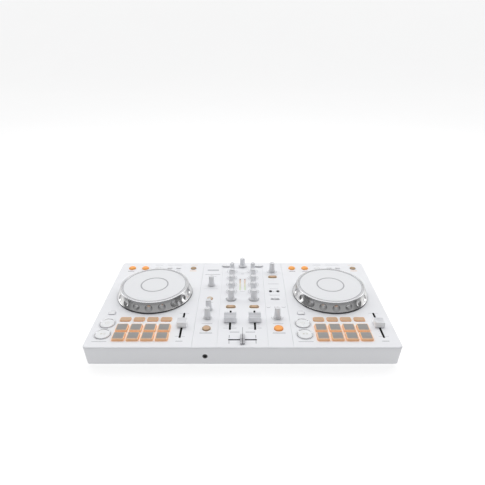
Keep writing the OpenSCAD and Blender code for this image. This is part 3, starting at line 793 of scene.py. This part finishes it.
def jog_disc(side):
    """The satin touch disc: a rolled edge, a fine step and a grey ring round its centre field."""
    node = f"jog_disc_{side}"
    centre = flat(node)
    low, high = box(node)
    r, top = size_of(node).x / 2 + 0.1, high.z
    face = spun(f"jog_face_{side}", (0.70, 0.705, 0.72), 0.34, centre)
    line = spun(f"jog_line_{side}", (0.36, 0.36, 0.38), 0.3, centre)
    edge = stepped(r, top, ((0, 0.7), (0.15, 0.35), (0.5, 0.12), (0.56, 0.12), (1.2, 0.1), (1.3, 0.4),
                            (2.3, 0.4), (2.4, 0), (2.5, 0)))
    field = [(24.7, top), (24.6, top), (24.4, top - 0.28), (22.4, top - 0.28), (22.2, top - 0.02),
             (22.1, top - 0.02), (12, top - 0.05)]
    steps = 192
    shape = Shape().add(solid([(r, low.z)] + edge + field, steps), centre)
    shape.paint_bands((6, 7, 8, 12, 13, 14), steps, 1)
    put(shape, f"jog_{side}_disc", f"jog_{side}", "jog_top", [face, line], node)


# ---------------------------------------------------------------- knobs, faders and keys

SHAFT_END = 30.2         # where the shafts stop over the boards


def knob_part(shape, place, top_r, skirt_r, top):
    """A fluted soft-touch knob with a flared skirt, a pale top and a pointer."""
    z0, flutes = PLATE + 0.6, 18
    skirt = [(skirt_r - 0.3, z0), (skirt_r, z0 + 0.25), (skirt_r, z0 + 0.9), (skirt_r - 0.35, z0 + 1.3),
             (top_r + 1.0, z0 + 2.2), (top_r + 0.7, z0 + 3.0), (top_r + 0.62, z0 + 3.05)]
    shape.add(solid(skirt, 64), place, ink=1)
    body_low = z0 + 2.9
    span = top - 1.5 - body_low
    grip = [(top_r + 0.55 - 0.5 * t, body_low + span * t) for t in (0.04, 0.2, 0.5, 0.8, 1.0)]
    profile = [(top_r + 0.55, body_low)] + grip + [(top_r - 0.1, top - 1.0), (top_r - 0.2, top - 0.6)]

    def wave(angle, i):
        return 1 - 0.07 * (0.5 - 0.5 * math.cos(angle * flutes)) ** 0.7 if 2 <= i <= 6 else 1.0

    shape.add(solid(profile, flutes * 8, wave), place)
    crown = stepped(top_r, top, ((0.25, 0.8), (0.25, 0.45), (0.4, 0.15), (0.75, 0), (0.85, 0)))
    shape.add(lathe([(0, top - 0.8)] + crown + [(0, top - 0.08)], 64), place, ink=2)
    shape.add(plaque(0.8, top_r - 1.6, 0.3, top - 0.2, top + 0.05, 0.05, 0.08),
              (place[0], place[1] + top_r / 2 - 0.1, 0), ink=3)
    shape.add(solid([(2.5, SHAFT_END), (2.9, SHAFT_END + 0.4), (2.9, z0 + 1)], 24), place, ink=1)


def knobs():
    for node in KNOB_NODES:
        if node == "browse_knob":
            continue
        low, high = box(node)
        skirt_r = (high.x - low.x) / 2
        top_r = 4.0 if "trim" in node else 4.6 if skirt_r < 7.5 else 4.9
        shape = Shape()
        knob_part(shape, flat(node), top_r, skirt_r, high.z - 0.3)
        put_piece(shape, node, "knob_grey", [KNOB, KNOB_SKIRT, KNOB_TOP, KNOB_LINE],
                  node.replace("_knob", ""))


def browse_knob():
    """The selector: a knurled drum with a pale top on a wide flange."""
    z0 = PLATE + 1.2
    top = box("browse_knob")[1].z
    foot = [(7.5, z0), (7.75, z0 + 0.25), (7.75, z0 + 1.0), (7.4, z0 + 1.6), (6.6, z0 + 2.1),
            (5.2, z0 + 2.4)]
    drum = [(4.6, z0 + 2.2), (4.75, z0 + 3), (4.75, z0 + 7), (4.75, top - 1.6), (4.6, top - 1.2),
            (4.4, top - 0.6)]
    crown = [(0, top - 0.8), (4.35, top - 0.8), (4.3, top - 0.4), (3.9, top - 0.05), (3.8, top - 0.05),
             (2.9, top), (2.8, top), (0, top - 0.25)]
    shaft = [(2.9, SHAFT_END), (2.9, z0 + 1)]

    def knurl(angle, i):
        return 1 - (0.06 * (0.5 - 0.5 * math.cos(angle * 26)) if 2 <= i <= 4 else 0)

    shape = Shape()
    for part, ink in ((solid(foot, 64), 1), (solid(drum, 208, knurl), 0), (lathe(crown, 64), 2),
                      (solid(shaft, 24), 1)):
        shape.add(part, flat("browse_knob"), ink=ink)
    put_piece(shape, "browse_knob", "knob_grey", [KNOB, KNOB_SKIRT, KNOB_TOP], "browse")


def run_along_x(shape, profile, stations, place, ink_of):
    """A body with a side profile in Y and Z, run through (x, shrink) stations.

    ink_of(band, point) gives the ink of the face that starts at a profile point.
    """
    floor = min(z for _, z in profile)
    half = max(y for y, _ in profile)
    rings = [[(x, y * (1 - shrink / half), z if z < floor + 1 else z - shrink) for y, z in profile]
             for x, shrink in stations]
    start = len(shape.faces)
    shape.add(loft(rings), place)
    for band in range(len(stations) - 1):
        for i in range(len(profile)):
            shape.inks[start + band * len(profile) + i] = ink_of(band, i)


def wide_cap(shape, place, width, depth, height):
    """A channel or tempo cap: leaning faces, and a scooped top with finger ridges and a line."""
    z0, top = PLATE + 1, PLATE + height
    half, edge = depth / 2, 7.0
    rise = [(-half, z0), (-half, z0 + 1.2), (-half + 0.15, z0 + 1.6), (-edge - 0.25, top - 0.9),
            (-edge, top - 0.3), (-edge + 0.35, top - 0.02), (-edge + 0.9, top)]
    profile = list(rise)
    reach = edge - 0.9
    ridges = 8
    for k in range(ridges * 4 + 1):
        y = -reach + 2 * reach * k / (ridges * 4)
        scoop = 0.8 * (1 - (y / reach) ** 2)
        tooth = 0.32 * (0.5 - 0.5 * math.cos(2 * math.pi * k / 4)) if abs(y) > 1.0 else 0.0
        profile.append((y, top - scoop - tooth))
    profile += [(-y, z) for y, z in reversed(rise)]
    w = width / 2
    stations = ((-w, 0.5), (-w + 0.15, 0.2), (-w + 0.5, 0.0), (w - 0.5, 0.0), (w - 0.15, 0.2), (w, 0.5))
    # The top's darker paint also covers the upper part of the rounded front and back edges: painted shade
    # over their highlight.
    first, last = len(rise) - 2, len(profile) - len(rise) + 1
    run_along_x(shape, profile, stations, place, lambda band, i: 1 if first <= i < last else 0)
    shape.add(plaque(width - 1.4, 0.7, 0.15, top - 1.3, top - 0.72, 0.04, 0.06), place, ink=2)
    shape.add(plaque(1.2, 7, 0.3, SHAFT_END + 0.2, z0 + 0.5), place, ink=3)


def cross_cap(shape, place, width, depth, height):
    """The crossfader's cap: long and low, with sloping ends and a line from end to end."""
    z0, top = PLATE + 1, PLATE + height
    half, edge = depth / 2, 4.2
    foot_y, foot_z, brow = -half + 0.3, z0 + 1.5, top - 0.35
    rise = [(-half, z0), (-half, z0 + 1.0), (foot_y, foot_z)]
    for t in (0.2, 0.4, 0.6, 0.8):
        sag = 0.5 * math.sin(math.pi * t)
        rise.append((foot_y + (half - edge - 0.3) * t, foot_z + (brow - foot_z) * t - sag))
    rise += [(-edge - 0.1, brow), (-edge + 0.5, top - 0.03), (-edge + 1.1, top - 0.1)]
    profile = rise + [(0, top - 0.3)] + [(-y, z) for y, z in reversed(rise)]
    w = width / 2
    stations = ((-w, 0.45), (-w + 0.15, 0.2), (-w + 0.45, 0.0), (-0.5, 0.0), (0.5, 0.0),
                (w - 0.45, 0.0), (w - 0.15, 0.2), (w, 0.45))
    last = len(profile) - 1
    run_along_x(shape, profile, stations, place, lambda band, i: 1 if band == 3 and i < last else 0)
    shape.add(plaque(7, 1.2, 0.3, SHAFT_END + 0.2, z0 + 0.5), place, ink=2)


def faders():
    # Each cap takes a lighter paint on its faces and a darker one on its top: painted light and painted
    # shade.
    looks = {"cap_grey": ("ch1_fader", "ch2_fader", CAP_SIDE_PAINTED_LIGHT, CAP_TOP_PAINTED_SHADE),
             "cap_light": ("tempo_slider_left", "tempo_slider_right", CAP_LIGHT, CAP_PALE_TOP_PAINTED_SHADE)}
    for slot, (*nodes, side_painted_light, top_painted_shade) in looks.items():
        for node in nodes:
            size = size_of(node)
            shape = Shape()
            wide_cap(shape, flat(node), size.x, size.y, box(node)[1].z - PLATE)
            put_piece(shape, node, slot, [side_painted_light, top_painted_shade, POINTER, SLOT_BLACK])
    size = size_of("crossfader")
    shape = Shape()
    cross_cap(shape, flat("crossfader"), size.x, size.y, box("crossfader")[1].z - PLATE)
    put_piece(shape, "crossfader", "cap_dark", [CAP_DARK, CAP_LINE, SLOT_BLACK])


def fx_switch():
    """A small slide button with five grip lines."""
    x, y, _ = place = flat("fx_channel_switch")
    shape = Shape().add(key_block(5.2, 3.0, 0.4, UNDER, PLATE + 2.4, 0.35), place)
    for dx in (-1.4, -0.7, 0, 0.7, 1.4):
        shape.add(plaque(0.3, 2.2, 0.1, PLATE + 2.3, PLATE + 2.4), (x + dx, y, 0), ink=1)
    shape.add(plaque(3, 1.8, 0.2, SHAFT_END, UNDER + 0.4), place, ink=1)
    put(shape, "fx_switch_piece", "fx_channel_switch", "cap_light", [CAP_LIGHT, CAP_LINE],
        "fx_channel_switch")


FLANGE_H = 1.2
FLANGE_LOW = UNDER - GAP - FLANGE_H
SHEET_KEY_LOW = FLANGE_LOW + 0.6     # where a sheet's keys start
KEY_LOW = UNDER - 0.9                # where a single key starts
STEM_LOW = 33.6                      # where a key's stem meets its switch
PILLAR_LOW = 30.1                    # where a pad's pillar meets its sensor


def flange(width, depth):
    return slab(width, depth, 1.5, ((FLANGE_LOW, 0.2), (FLANGE_LOW + 0.2, 0), (FLANGE_LOW + FLANGE_H, 0)))


def rooted(place, width, depth):
    """A shape that begins with what holds a key under the plate: a flange and a stem to its switch."""
    shape = Shape().add(flange(width + 1.6, depth + 1.6), place)
    return shape.add(plaque(3.4, 3.4, 0.4, STEM_LOW, FLANGE_LOW + 0.4), place)


def sheet(node, ink=0):
    """A shape that begins with the flange of a moulded sheet of keys."""
    size = size_of(node)
    return Shape().add(plaque(size.x, size.y, 2, FLANGE_LOW, FLANGE_LOW + FLANGE_H), flat(node), ink=ink)


def triangle(size, z):
    ring = [(size * 0.62, 0), (-size * 0.38, size * 0.5), (-size * 0.38, -size * 0.5)]
    return loft([[(x, y, h) for x, y in ring] for h in (z, z + 0.06)])


def mark(width, depth, z, radius=0.15):
    """A thin printed bar at height z."""
    return slab(width, depth, radius, ((z, 0), (z + 0.04, 0)), 2)


def ring_mark(r_in, r_out, z, a0=0, a1=360, steps=48):
    """A thin printed ring, or part of one, at height z."""
    count = max(int(steps * (a1 - a0) / 360), 4)
    whole = a1 - a0 == 360
    angles = [math.radians(a0 + (a1 - a0) * k / count) for k in range(count if whole else count + 1)]
    section = ((r_in, z), (r_out, z), (r_out, z + 0.04), (r_in, z + 0.04))
    rings = [[(r * math.cos(a), r * math.sin(a), h) for r, h in section] for a in angles]
    return loop_loft(rings) if whole else loft(rings)


def transport_key(side, key):
    """A round play or cue key: a bright bezel, a sunk face and a generic symbol."""
    node = f"{key}_button_{side}"
    x, y, _ = place = flat(node)
    r, top = TRANSPORT_R, PLATE + 1.5
    z = top - 0.5
    shape = rooted(place, 2 * r, 2 * r)
    bezel = stepped(r, top, ((0, 0.5), (0.15, 0.15), (0.45, 0), (0.75, 0), (1.1, 0.15), (1.6, 0.75)))
    face = stepped(r, top, ((1.7, 0.8), (1.75, 0.5), (2.1, 0.36), (2.2, 0.36)))
    shape.add(solid([(r, KEY_LOW)] + bezel, 96), place, ink=1)
    shape.add(lathe([(0, top - 0.8)] + face + [(6, top - 0.45), (0, z)], 96), place)
    if key == "play":
        shape.add(triangle(4.0, z), (x - 1.6, y, 0), ink=2)
        for dx in (2.4, 4.0):
            shape.add(mark(0.8, 3.8, z + 0.02), (x + dx, y, 0), ink=2)
    else:
        shape.add(ring_mark(2.9, 3.4, z), place, ink=2)
        shape.add(solid([(0.8, z - 0.03), (0.8, z + 0.05)], 24), place, ink=2)
    put_piece(shape, node, "key_white", [KEY_WHITE, KEY_RIM, KEY_PRINT])


def shift_key(node):
    place = flat(node)
    shape = rooted(place, *SHIFT)
    shape.add(key_block(*SHIFT, 1.0, KEY_LOW, PLATE + 1.2, 0.3), place)
    shape.add(plaque(SHIFT[0] - 2.4, SHIFT[1] - 2.4, 0.5, PLATE + 1.1, PLATE + 1.2, 0.03), place, ink=1)
    put_piece(shape, node, "key_white", [KEY_EDGE, KEY_WHITE])


def load_key(node, turn):
    place = flat(node)
    top = PLATE + 2.4
    shape = rooted(place, *LOAD)
    shape.add(key_block(*LOAD, 4.2, KEY_LOW, top - 0.1, 0.5), place)
    shape.add(plaque(LOAD[0] - 1.6, LOAD[1] - 1.6, 3.4, top - 0.3, top - 0.06, 0.06, 0.3), place, ink=2)
    shape.add(triangle(2.6, top - 0.04), place, turn, ink=1)
    put_piece(shape, node, "cap_light", [KEY_GREY, PRINT_LIGHT, KEY_WHITE])


def pill_key(node):
    place = flat(node)
    shape = rooted(place, *PILL)
    shape.add(key_block(*PILL, 3.7, KEY_LOW, PLATE + 1.45, 0.6), place, ink=1)
    shape.add(key_block(PILL[0] - 7, PILL[1] - 2.0, 2.6, PLATE + 1.2, PLATE + 1.6, 0.12), place)
    put_piece(shape, node, "key_lit_tan", [LIT_TAN, LIT_BROWN])


def round_key(node, height, slot, paints, share):
    """A round lit key. share is how much of its radius the bright face takes."""
    place = flat(node)
    r, top = ROUND_KEYS[node], PLATE + height
    shape = rooted(place, 2 * r, 2 * r)
    rim = stepped(r, top, ((0, 0.9), (0.12, 0.55), (0.45, 0.3), (0.9, 0.25)))
    face = stepped(r * share, top, ((0, 0.4), (0, 0.2), (0.3, 0.1)))
    shape.add(solid([(r, KEY_LOW)] + rim, 64), place, ink=1)
    shape.add(solid(face + [(r * 0.3, top)], 64), place)
    put_piece(shape, node, slot, paints)


def beat_keys():
    x, y, _ = place = flat("beat_buttons")
    shape = Shape().add(flange(2 * BEAT_DX + 9, 9), place)
    profile = [(BEAT_R, FLANGE_LOW + 0.5)] + [(BEAT_R - inset, z) for z, inset in fillet(PLATE + 1, 0.5)]
    for sign in (-1, 1):
        shape.add(solid(profile, 40), (x + sign * BEAT_DX, y, 0))
    put_piece(shape, "beat_buttons", "key_dark", [KEY_DARK])


def single_keys():
    for side, _ in SIDES:
        for key in ("play", "cue"):
            transport_key(side, key)
    for side, sign in SIDES:
        shift_key(f"shift_button_{side}")
        load_key(f"load_button_{side}", 180 if sign < 0 else 0)
    for node in PILL_KEYS:
        pill_key(node)
    round_key("fx_on_button", 2.0, "key_lit_orange", [LIT_ORANGE, LIT_AMBER], 0.74)
    round_key("smart_fader_button", 2.0, "key_lit_tan", [LIT_TAN, LIT_BROWN], 0.8)
    round_key("master_cue_button", 1.6, "key_lit_tan", [LIT_CREAM, LIT_TAN], 0.66)
    beat_keys()


def pads(side):
    """Eight square pads on one sheet: lit sides, a pale edge and a grey field, on dark pillars."""
    node = f"pads_{side}"
    shape = sheet(node, 1)
    top = PLATE + 3.6
    pillar = solid([(3.9, PILLAR_LOW), (4, PILLAR_LOW + 0.2), (4, FLANGE_LOW + 0.3)], 32)
    for x, y, _ in pad_places(side):
        shape.add(key_block(PAD_W, PAD_W, 1.5, SHEET_KEY_LOW, top, 0.55), (x, y, 0), ink=1)
        shape.add(plaque(PAD_W - 1.7, PAD_W - 1.7, 1.2, top - 0.3, top + 0.01, 0.02), (x, y, 0), ink=3)
        shape.add(plaque(PAD_W - 3.4, PAD_W - 4.6, 1.0, top - 0.3, top + 0.03, 0.03), (x, y + 0.7, 0))
        shape.add(pillar, (x, y, 0), ink=2)
    put_piece(shape, node, "pad_silicone", [PAD_TOP, PAD_SIDE, KEY_DARK, PAD_EDGE])


def mode_keys(side):
    node = f"mode_buttons_{side}"
    shape = sheet(node)
    for place in mode_places(side):
        shape.add(key_block(*MODE, 2.4, SHEET_KEY_LOW, PLATE + 1.4, 0.45), place, ink=1)
        shape.add(key_block(MODE[0] - 1.6, MODE[1] - 1.6, 1.8, PLATE + 1.2, PLATE + 1.5, 0.08), place)
    put_piece(shape, node, "key_lit_tan", [LIT_TAN, LIT_AMBER_SOFT])


def loop_keys(side):
    """The row behind the wheel: two domed loop keys, two flat round ones and two small call keys."""
    node = f"loop_buttons_{side}"
    shape = sheet(node)
    foot = PLATE + 0.6
    for place, (_, r), ink in zip(loop_places(side, [dx for dx, _ in LOOP_ROUND]), LOOP_ROUND, (0, 0, 1, 2)):
        top = PLATE + (3.4 if r > 6 else 1.8)
        dome = [(r * math.cos(a), foot + (top - foot) * math.sin(a))
                for a in (math.radians(d) for d in (12, 24, 36, 48, 60, 72, 83))]
        shape.add(lathe([(0, SHEET_KEY_LOW), (r, SHEET_KEY_LOW), (r, foot)] + dome + [(0, top)], 48),
                  place, ink=ink)
    for place in loop_places(side, CALL_DX):
        shape.add(key_block(*CALL, 0.9, SHEET_KEY_LOW, PLATE + 1.2, 0.3), place, ink=3)
        shape.add(plaque(CALL[0] - 1.6, CALL[1] - 1.6, 0.4, PLATE + 1.1, PLATE + 1.22), place, ink=1)
    put_piece(shape, node, "key_lit_orange", [LIT_ORANGE, KEY_WHITE, LIT_BROWN, KEY_GREY])


# ---------------------------------------------------------------- print, meter and sockets

# Printed bars as (x, distance from the front edge, width, depth, ink).
DECK_BARS = ((-61, 14.8, 23, 0.8, 0), (-60, 98, 8, 0.9, 1), (-60.2, 236.6, 12, 1.8, 0),
             (-34.5, 236.6, 12, 1.8, 0), (-9, 262.3, 16, 0.7, 0), (-6, 240.6, 30, 0.6, 0),
             (22.5, 262.3, 28, 0.6, 0), (22.5, 238.4, 26, 0.9, 0), (60.7, 262.4, 14, 1.0, 2),
             (60.7, 238.2, 13, 1.6, 2))                      # x is off the deck's middle
PAIRED_BARS = ((20.6, 14.3, 1.0, 8.4, 0), (20.6, 27.1, 1.0, 8.4, 0), (12.4, 38.9, 15, 1.2, 0),
               (33, 250.6, 10, 0.8, 1), (SIDE_X, 61.5, 17, 1.2, 1), (SIDE_X, 36.5, 20, 1.4, 0))
MIDDLE_BARS = ((0, 41, 0.8, 22, 0), (-57.5, 241, 22, 5, 1), (-57.5, 224, 29, 1.0, 0),
               (-57.5, 216.5, 15, 0.8, 0), (-57.5, 170.5, 26, 0.6, 1), (-57.5, 125, 12, 0.8, 0),
               (57.4, 222.6, 20, 0.7, 1), (57.4, 188, 20, 1.2, 1), (57.4, 171, 16, 0.7, 1),
               (57.4, 148.4, 18, 0.7, 0), (57.4, 133.5, 17, 0.9, 0), (55.8, 160, 1.6, 2.6, 1),
               (59.0, 160, 1.6, 2.6, 1), (0, 226, 6, 1.4, 1), (0, 161, 10, 0.8, 1))


def knob_scale(shape, node):
    """The printed scale round a knob: ticks, and a broad lower arc or two side arcs."""
    x, y, _ = place = flat(node)
    if "filter" in node:
        shape.add(ring_mark(8.3, 9.3, PLATE, 160, 380), place)
    elif node in ("mic_level_knob", "fx_level_knob"):
        shape.add(ring_mark(8.9, 9.7, PLATE, 170, 370), place, ink=1)
    elif node.startswith("ch"):
        for a in (0, 180):
            shape.add(ring_mark(9.2, 9.9, PLATE, a - 46, a + 46), place, ink=1)
    for turn in range(-60, 241, 30):
        a = math.radians(turn)
        shape.add(mark(0.9, 0.3, PLATE), (x + 10.6 * math.cos(a), y + 10.6 * math.sin(a), 0), turn, 1)


def print_on_plate():
    """Generic marks in grey ink: ticks, scales and plain bars where legends sit."""
    s = Shape()

    def bar(x, y, width, depth, ink=0):
        s.add(mark(width, depth, PLATE), (x, from_front(y), 0), ink=ink)

    for node in KNOB_NODES:
        if node != "browse_knob":
            knob_scale(s, node)
    for side, sign in SIDES:
        tempo = flat(f"tempo_slider_{side}")[0]
        channel = flat("ch1_fader" if sign < 0 else "ch2_fader")[0]
        bar(tempo, 16, 11, 1.1)
        for out in (-1, 1):
            for y in (28, 91):
                bar(tempo + out * 5.2, y, 5.6, 0.5)
            for k in range(9):
                bar(tempo + out * 4.0, 35 + k * 6, 2.2, 0.25, 1)
            for y in (49.5, 94.5):
                bar(channel + out * 6.6, y, 8, 0.7)
            for k in range(1, 9):
                bar(channel + out * 5.2, 49.5 + k * 5, 4.6, 0.45, 1)
        for x, *rest in DECK_BARS:
            bar(DECK_X * sign + x, *rest)
        for x, *rest in PAIRED_BARS:
            bar(sign * x, *rest)
        for node in (f"cue_button_{side}", f"play_button_{side}"):
            s.add(ring_mark(14.0, 14.3, PLATE), flat(node), ink=1)
        for node, size, corner in ((f"load_button_{side}", LOAD, 4.2), (f"shift_button_{side}", SHIFT, 1.0)):
            s.add(frame_band(block_outline(*size, corner), 0.7, 1.4, PLATE, 0.03), flat(node), ink=1)
    for one in MIDDLE_BARS:
        bar(*one)
    for x in (-13, 0, 13):
        s.add(ring_mark(3.2, 3.9, PLATE, 200, 340), (57.4 + x, from_front(112), 0))
    put(s, "plate_print", "case", "cap_grey", [PRINT, PRINT_LIGHT, PRINT_AMBER])


def level_meter():
    """Two columns of ten lights, set in a lens under the plate."""
    x, y, _ = place = flat("level_meter")
    inks = (4, 4, 4, 3, 3, 3, 2, 2, 2, 1)    # green, yellow, orange, red
    pitch = METER_L / len(inks)
    light_part = key_block(1.9, pitch - 0.6, 0.3, PLATE - 0.4, PLATE + 0.1, 0.15)
    shape = Shape().add(plaque(13, METER_L + 3, 1, UNDER - 2.2, UNDER - 0.2), place)
    for column in (-METER_DX, METER_DX):
        shape.add(plaque(2.9, METER_L, 0.4, UNDER - 0.6, PLATE - 0.25), (column, y, 0))
        for k, ink in enumerate(inks):
            shape.add(light_part, (column, y - METER_L / 2 + pitch * (k + 0.5), 0), ink=ink)
    put_piece(shape, "level_meter", "meter_light",
              [METER_BODY, METER_RED, METER_ORANGE, METER_YELLOW, METER_GREEN], "case")


def dust_lips():
    """Black felt round each fader's slot, with a split that the stem runs in."""
    s = Shape()
    section = ((-0.02, UNDER - 0.3), (-0.02, PLATE - 0.36), (0.3, PLATE - 0.02), (-0.2, PLATE - 0.36),
               (-0.2, UNDER - 0.3))
    for node, (width, depth, _) in SLOTS.items():
        x, y, _ = place = flat(node)
        across = min(width, depth)
        s.add(loop_loft(rings_of(block_outline(width, depth, across / 2), section)), place)
        lip = (width - 1, 0.4) if width > depth else (0.62, depth - 1)
        reach = across / 2 - 0.2 - min(lip) / 2
        for off in (-reach, reach):
            place = (x, y + off, 0) if width > depth else (x + off, y, 0)
            s.add(plaque(*lip, 0.2, UNDER + 0.6, UNDER + 0.9), place)
    put(s, "slot_lips", "case", "socket_black", [SLOT_BLACK])


def light_collars():
    """Where light from the pads and lit keys spills on the plate: thin pale rings round them."""
    s = Shape()

    def collar(outline, place, ink=1):
        s.add(frame_band(outline, GAP + 0.36, GAP + 1.46, PLATE, 0.03, 0.1), place, ink=ink)

    for side, _ in SIDES:
        for place in pad_places(side):
            collar(block_outline(PAD_W, PAD_W, 1.5), place, 0)
        for place in mode_places(side):
            collar(block_outline(*MODE, 2.4), place)
    for node in PILL_KEYS:
        collar(block_outline(*PILL, 3.7), flat(node))
    for node in ("fx_on_button", "smart_fader_button"):
        collar(round_outline(ROUND_KEYS[node]), flat(node))
    put(s, "light_collars", "case", "key_lit_tan", [SPILL, SPILL_PALE])


def dress_cad():
    """Nodes whose CAD shape is right keep it and take a finish."""
    finishes = {"circuit_boards": BOARD, "pot_bodies": STEEL, "fader_bodies": SLOT_BLACK,
                "jog_spindles": STEEL, "case_screws": STEEL, "rca_jacks": SOCKET,
                "usb_port": PLATING, "mic_jack": SOCKET, "phones_jack": SOCKET}
    for node, material in finishes.items():
        mesh = frame["nodes"][node].data
        mesh.materials.clear()
        mesh.materials.append(material)
        smooth(frame["nodes"][node], math.radians(30))


# ---------------------------------------------------------------- stage, light and camera

SENSOR = 36
LENS = 457.8 / 485 * SENSOR          # the focal length of the fitted camera, in millimetres
PITCH = 25.2             # how far it looks down, in degrees


def stage():
    """A pale floor that bends up into a wall behind."""
    n = Nodes("studio_floor")
    tone = n.mix(n.noise(3, 2), (0.29, 0.29, 0.29), (0.31, 0.31, 0.31))
    finish = n.paint(tone, 0.9, Emission_Color=(1, 1, 1), Emission_Strength=0.78, Specular_IOR_Level=0.0)
    half, near, far, wall, bend, thick, low = 6000, -4000, 3000, 5000, 1500, 5, -0.2
    line = [(near, low), (far, low)]
    for degrees in range(10, 91, 10):
        a = math.radians(degrees)
        line.append((far + bend * math.sin(a), low + bend - bend * math.cos(a)))
    line.append((far + bend, wall))
    rings = [[(-half, y, z), (half, y, z), (half, y, z - thick), (-half, y, z - thick)] for y, z in line]
    Shape().add(loft(rings)).make("studio_floor", [finish])


def link_object(name, data, place):
    obj = bpy.data.objects.new(name, data)
    obj.location = place
    bpy.context.scene.collection.objects.link(obj)
    return obj


def light(name, place, size, power):
    """A rectangular lamp aimed at the middle of the object."""
    lamp = bpy.data.lights.new(name, "AREA")
    lamp.shape = "RECTANGLE"
    lamp.size, lamp.size_y = size
    lamp.energy = power
    obj = link_object(name, lamp, place)
    obj.rotation_mode = "QUATERNION"
    obj.rotation_quaternion = (-Vector(place)).to_track_quat("-Z", "Y")


def world():
    """A pale room: grey in front, dark at the sides and bright behind, as plating shows it."""
    levels = ((0.0, 0.34), (0.25, 0.34), (0.36, 0.16), (0.55, 0.16), (0.66, 0.96), (0.86, 0.83), (1.0, 0.66))
    sky = bpy.data.worlds.new("studio")
    sky.use_nodes = True
    tree = sky.node_tree
    back = tree.nodes["Background"]
    back.inputs["Strength"].default_value = 1.2
    where, split, shift, ramp = (tree.nodes.new(f"ShaderNode{kind}")
                                 for kind in ("TexCoord", "SeparateXYZ", "MapRange", "ValToRGB"))
    shift.inputs["From Min"].default_value = -1.0
    set_ramp(ramp, levels, (0.97, 0.98, 1))
    for a, b in ((where.outputs["Generated"], split.inputs["Vector"]),
                 (split.outputs["Y"], shift.inputs["Value"]),
                 (shift.outputs["Result"], ramp.inputs["Fac"]),
                 (ramp.outputs["Color"], back.inputs["Color"])):
        tree.links.new(a, b)
    bpy.context.scene.world = sky


def camera():
    data = bpy.data.cameras.new("camera")
    data.sensor_width = SENSOR
    data.lens = LENS
    obj = link_object("camera", data, (0.0, -0.6876, 0.4732))
    obj.rotation_euler = (math.radians(90 - PITCH), 0, 0)
    bpy.context.scene.camera = obj


top_case()
bottom_case()
rubber_feet()
for deck_side, _ in SIDES:
    jog_wheel(deck_side)
    jog_disc(deck_side)
knobs()
browse_knob()
faders()
fx_switch()
single_keys()
for deck_side, _ in SIDES:
    pads(deck_side)
    mode_keys(deck_side)
    loop_keys(deck_side)
print_on_plate()
level_meter()
dust_lips()
light_collars()
dress_cad()
stage()
light("top_softbox", (0, 0.35, 1.45), (2.4, 1.6), 16)
light("left_strip", (-1.5, 0.65, 0.7), (0.7, 1.2), 3.2)
light("right_strip", (1.5, 0.65, 0.7), (0.7, 1.2), 3.2)
world()
camera()
bpy.context.scene.view_settings.view_transform = "Standard"
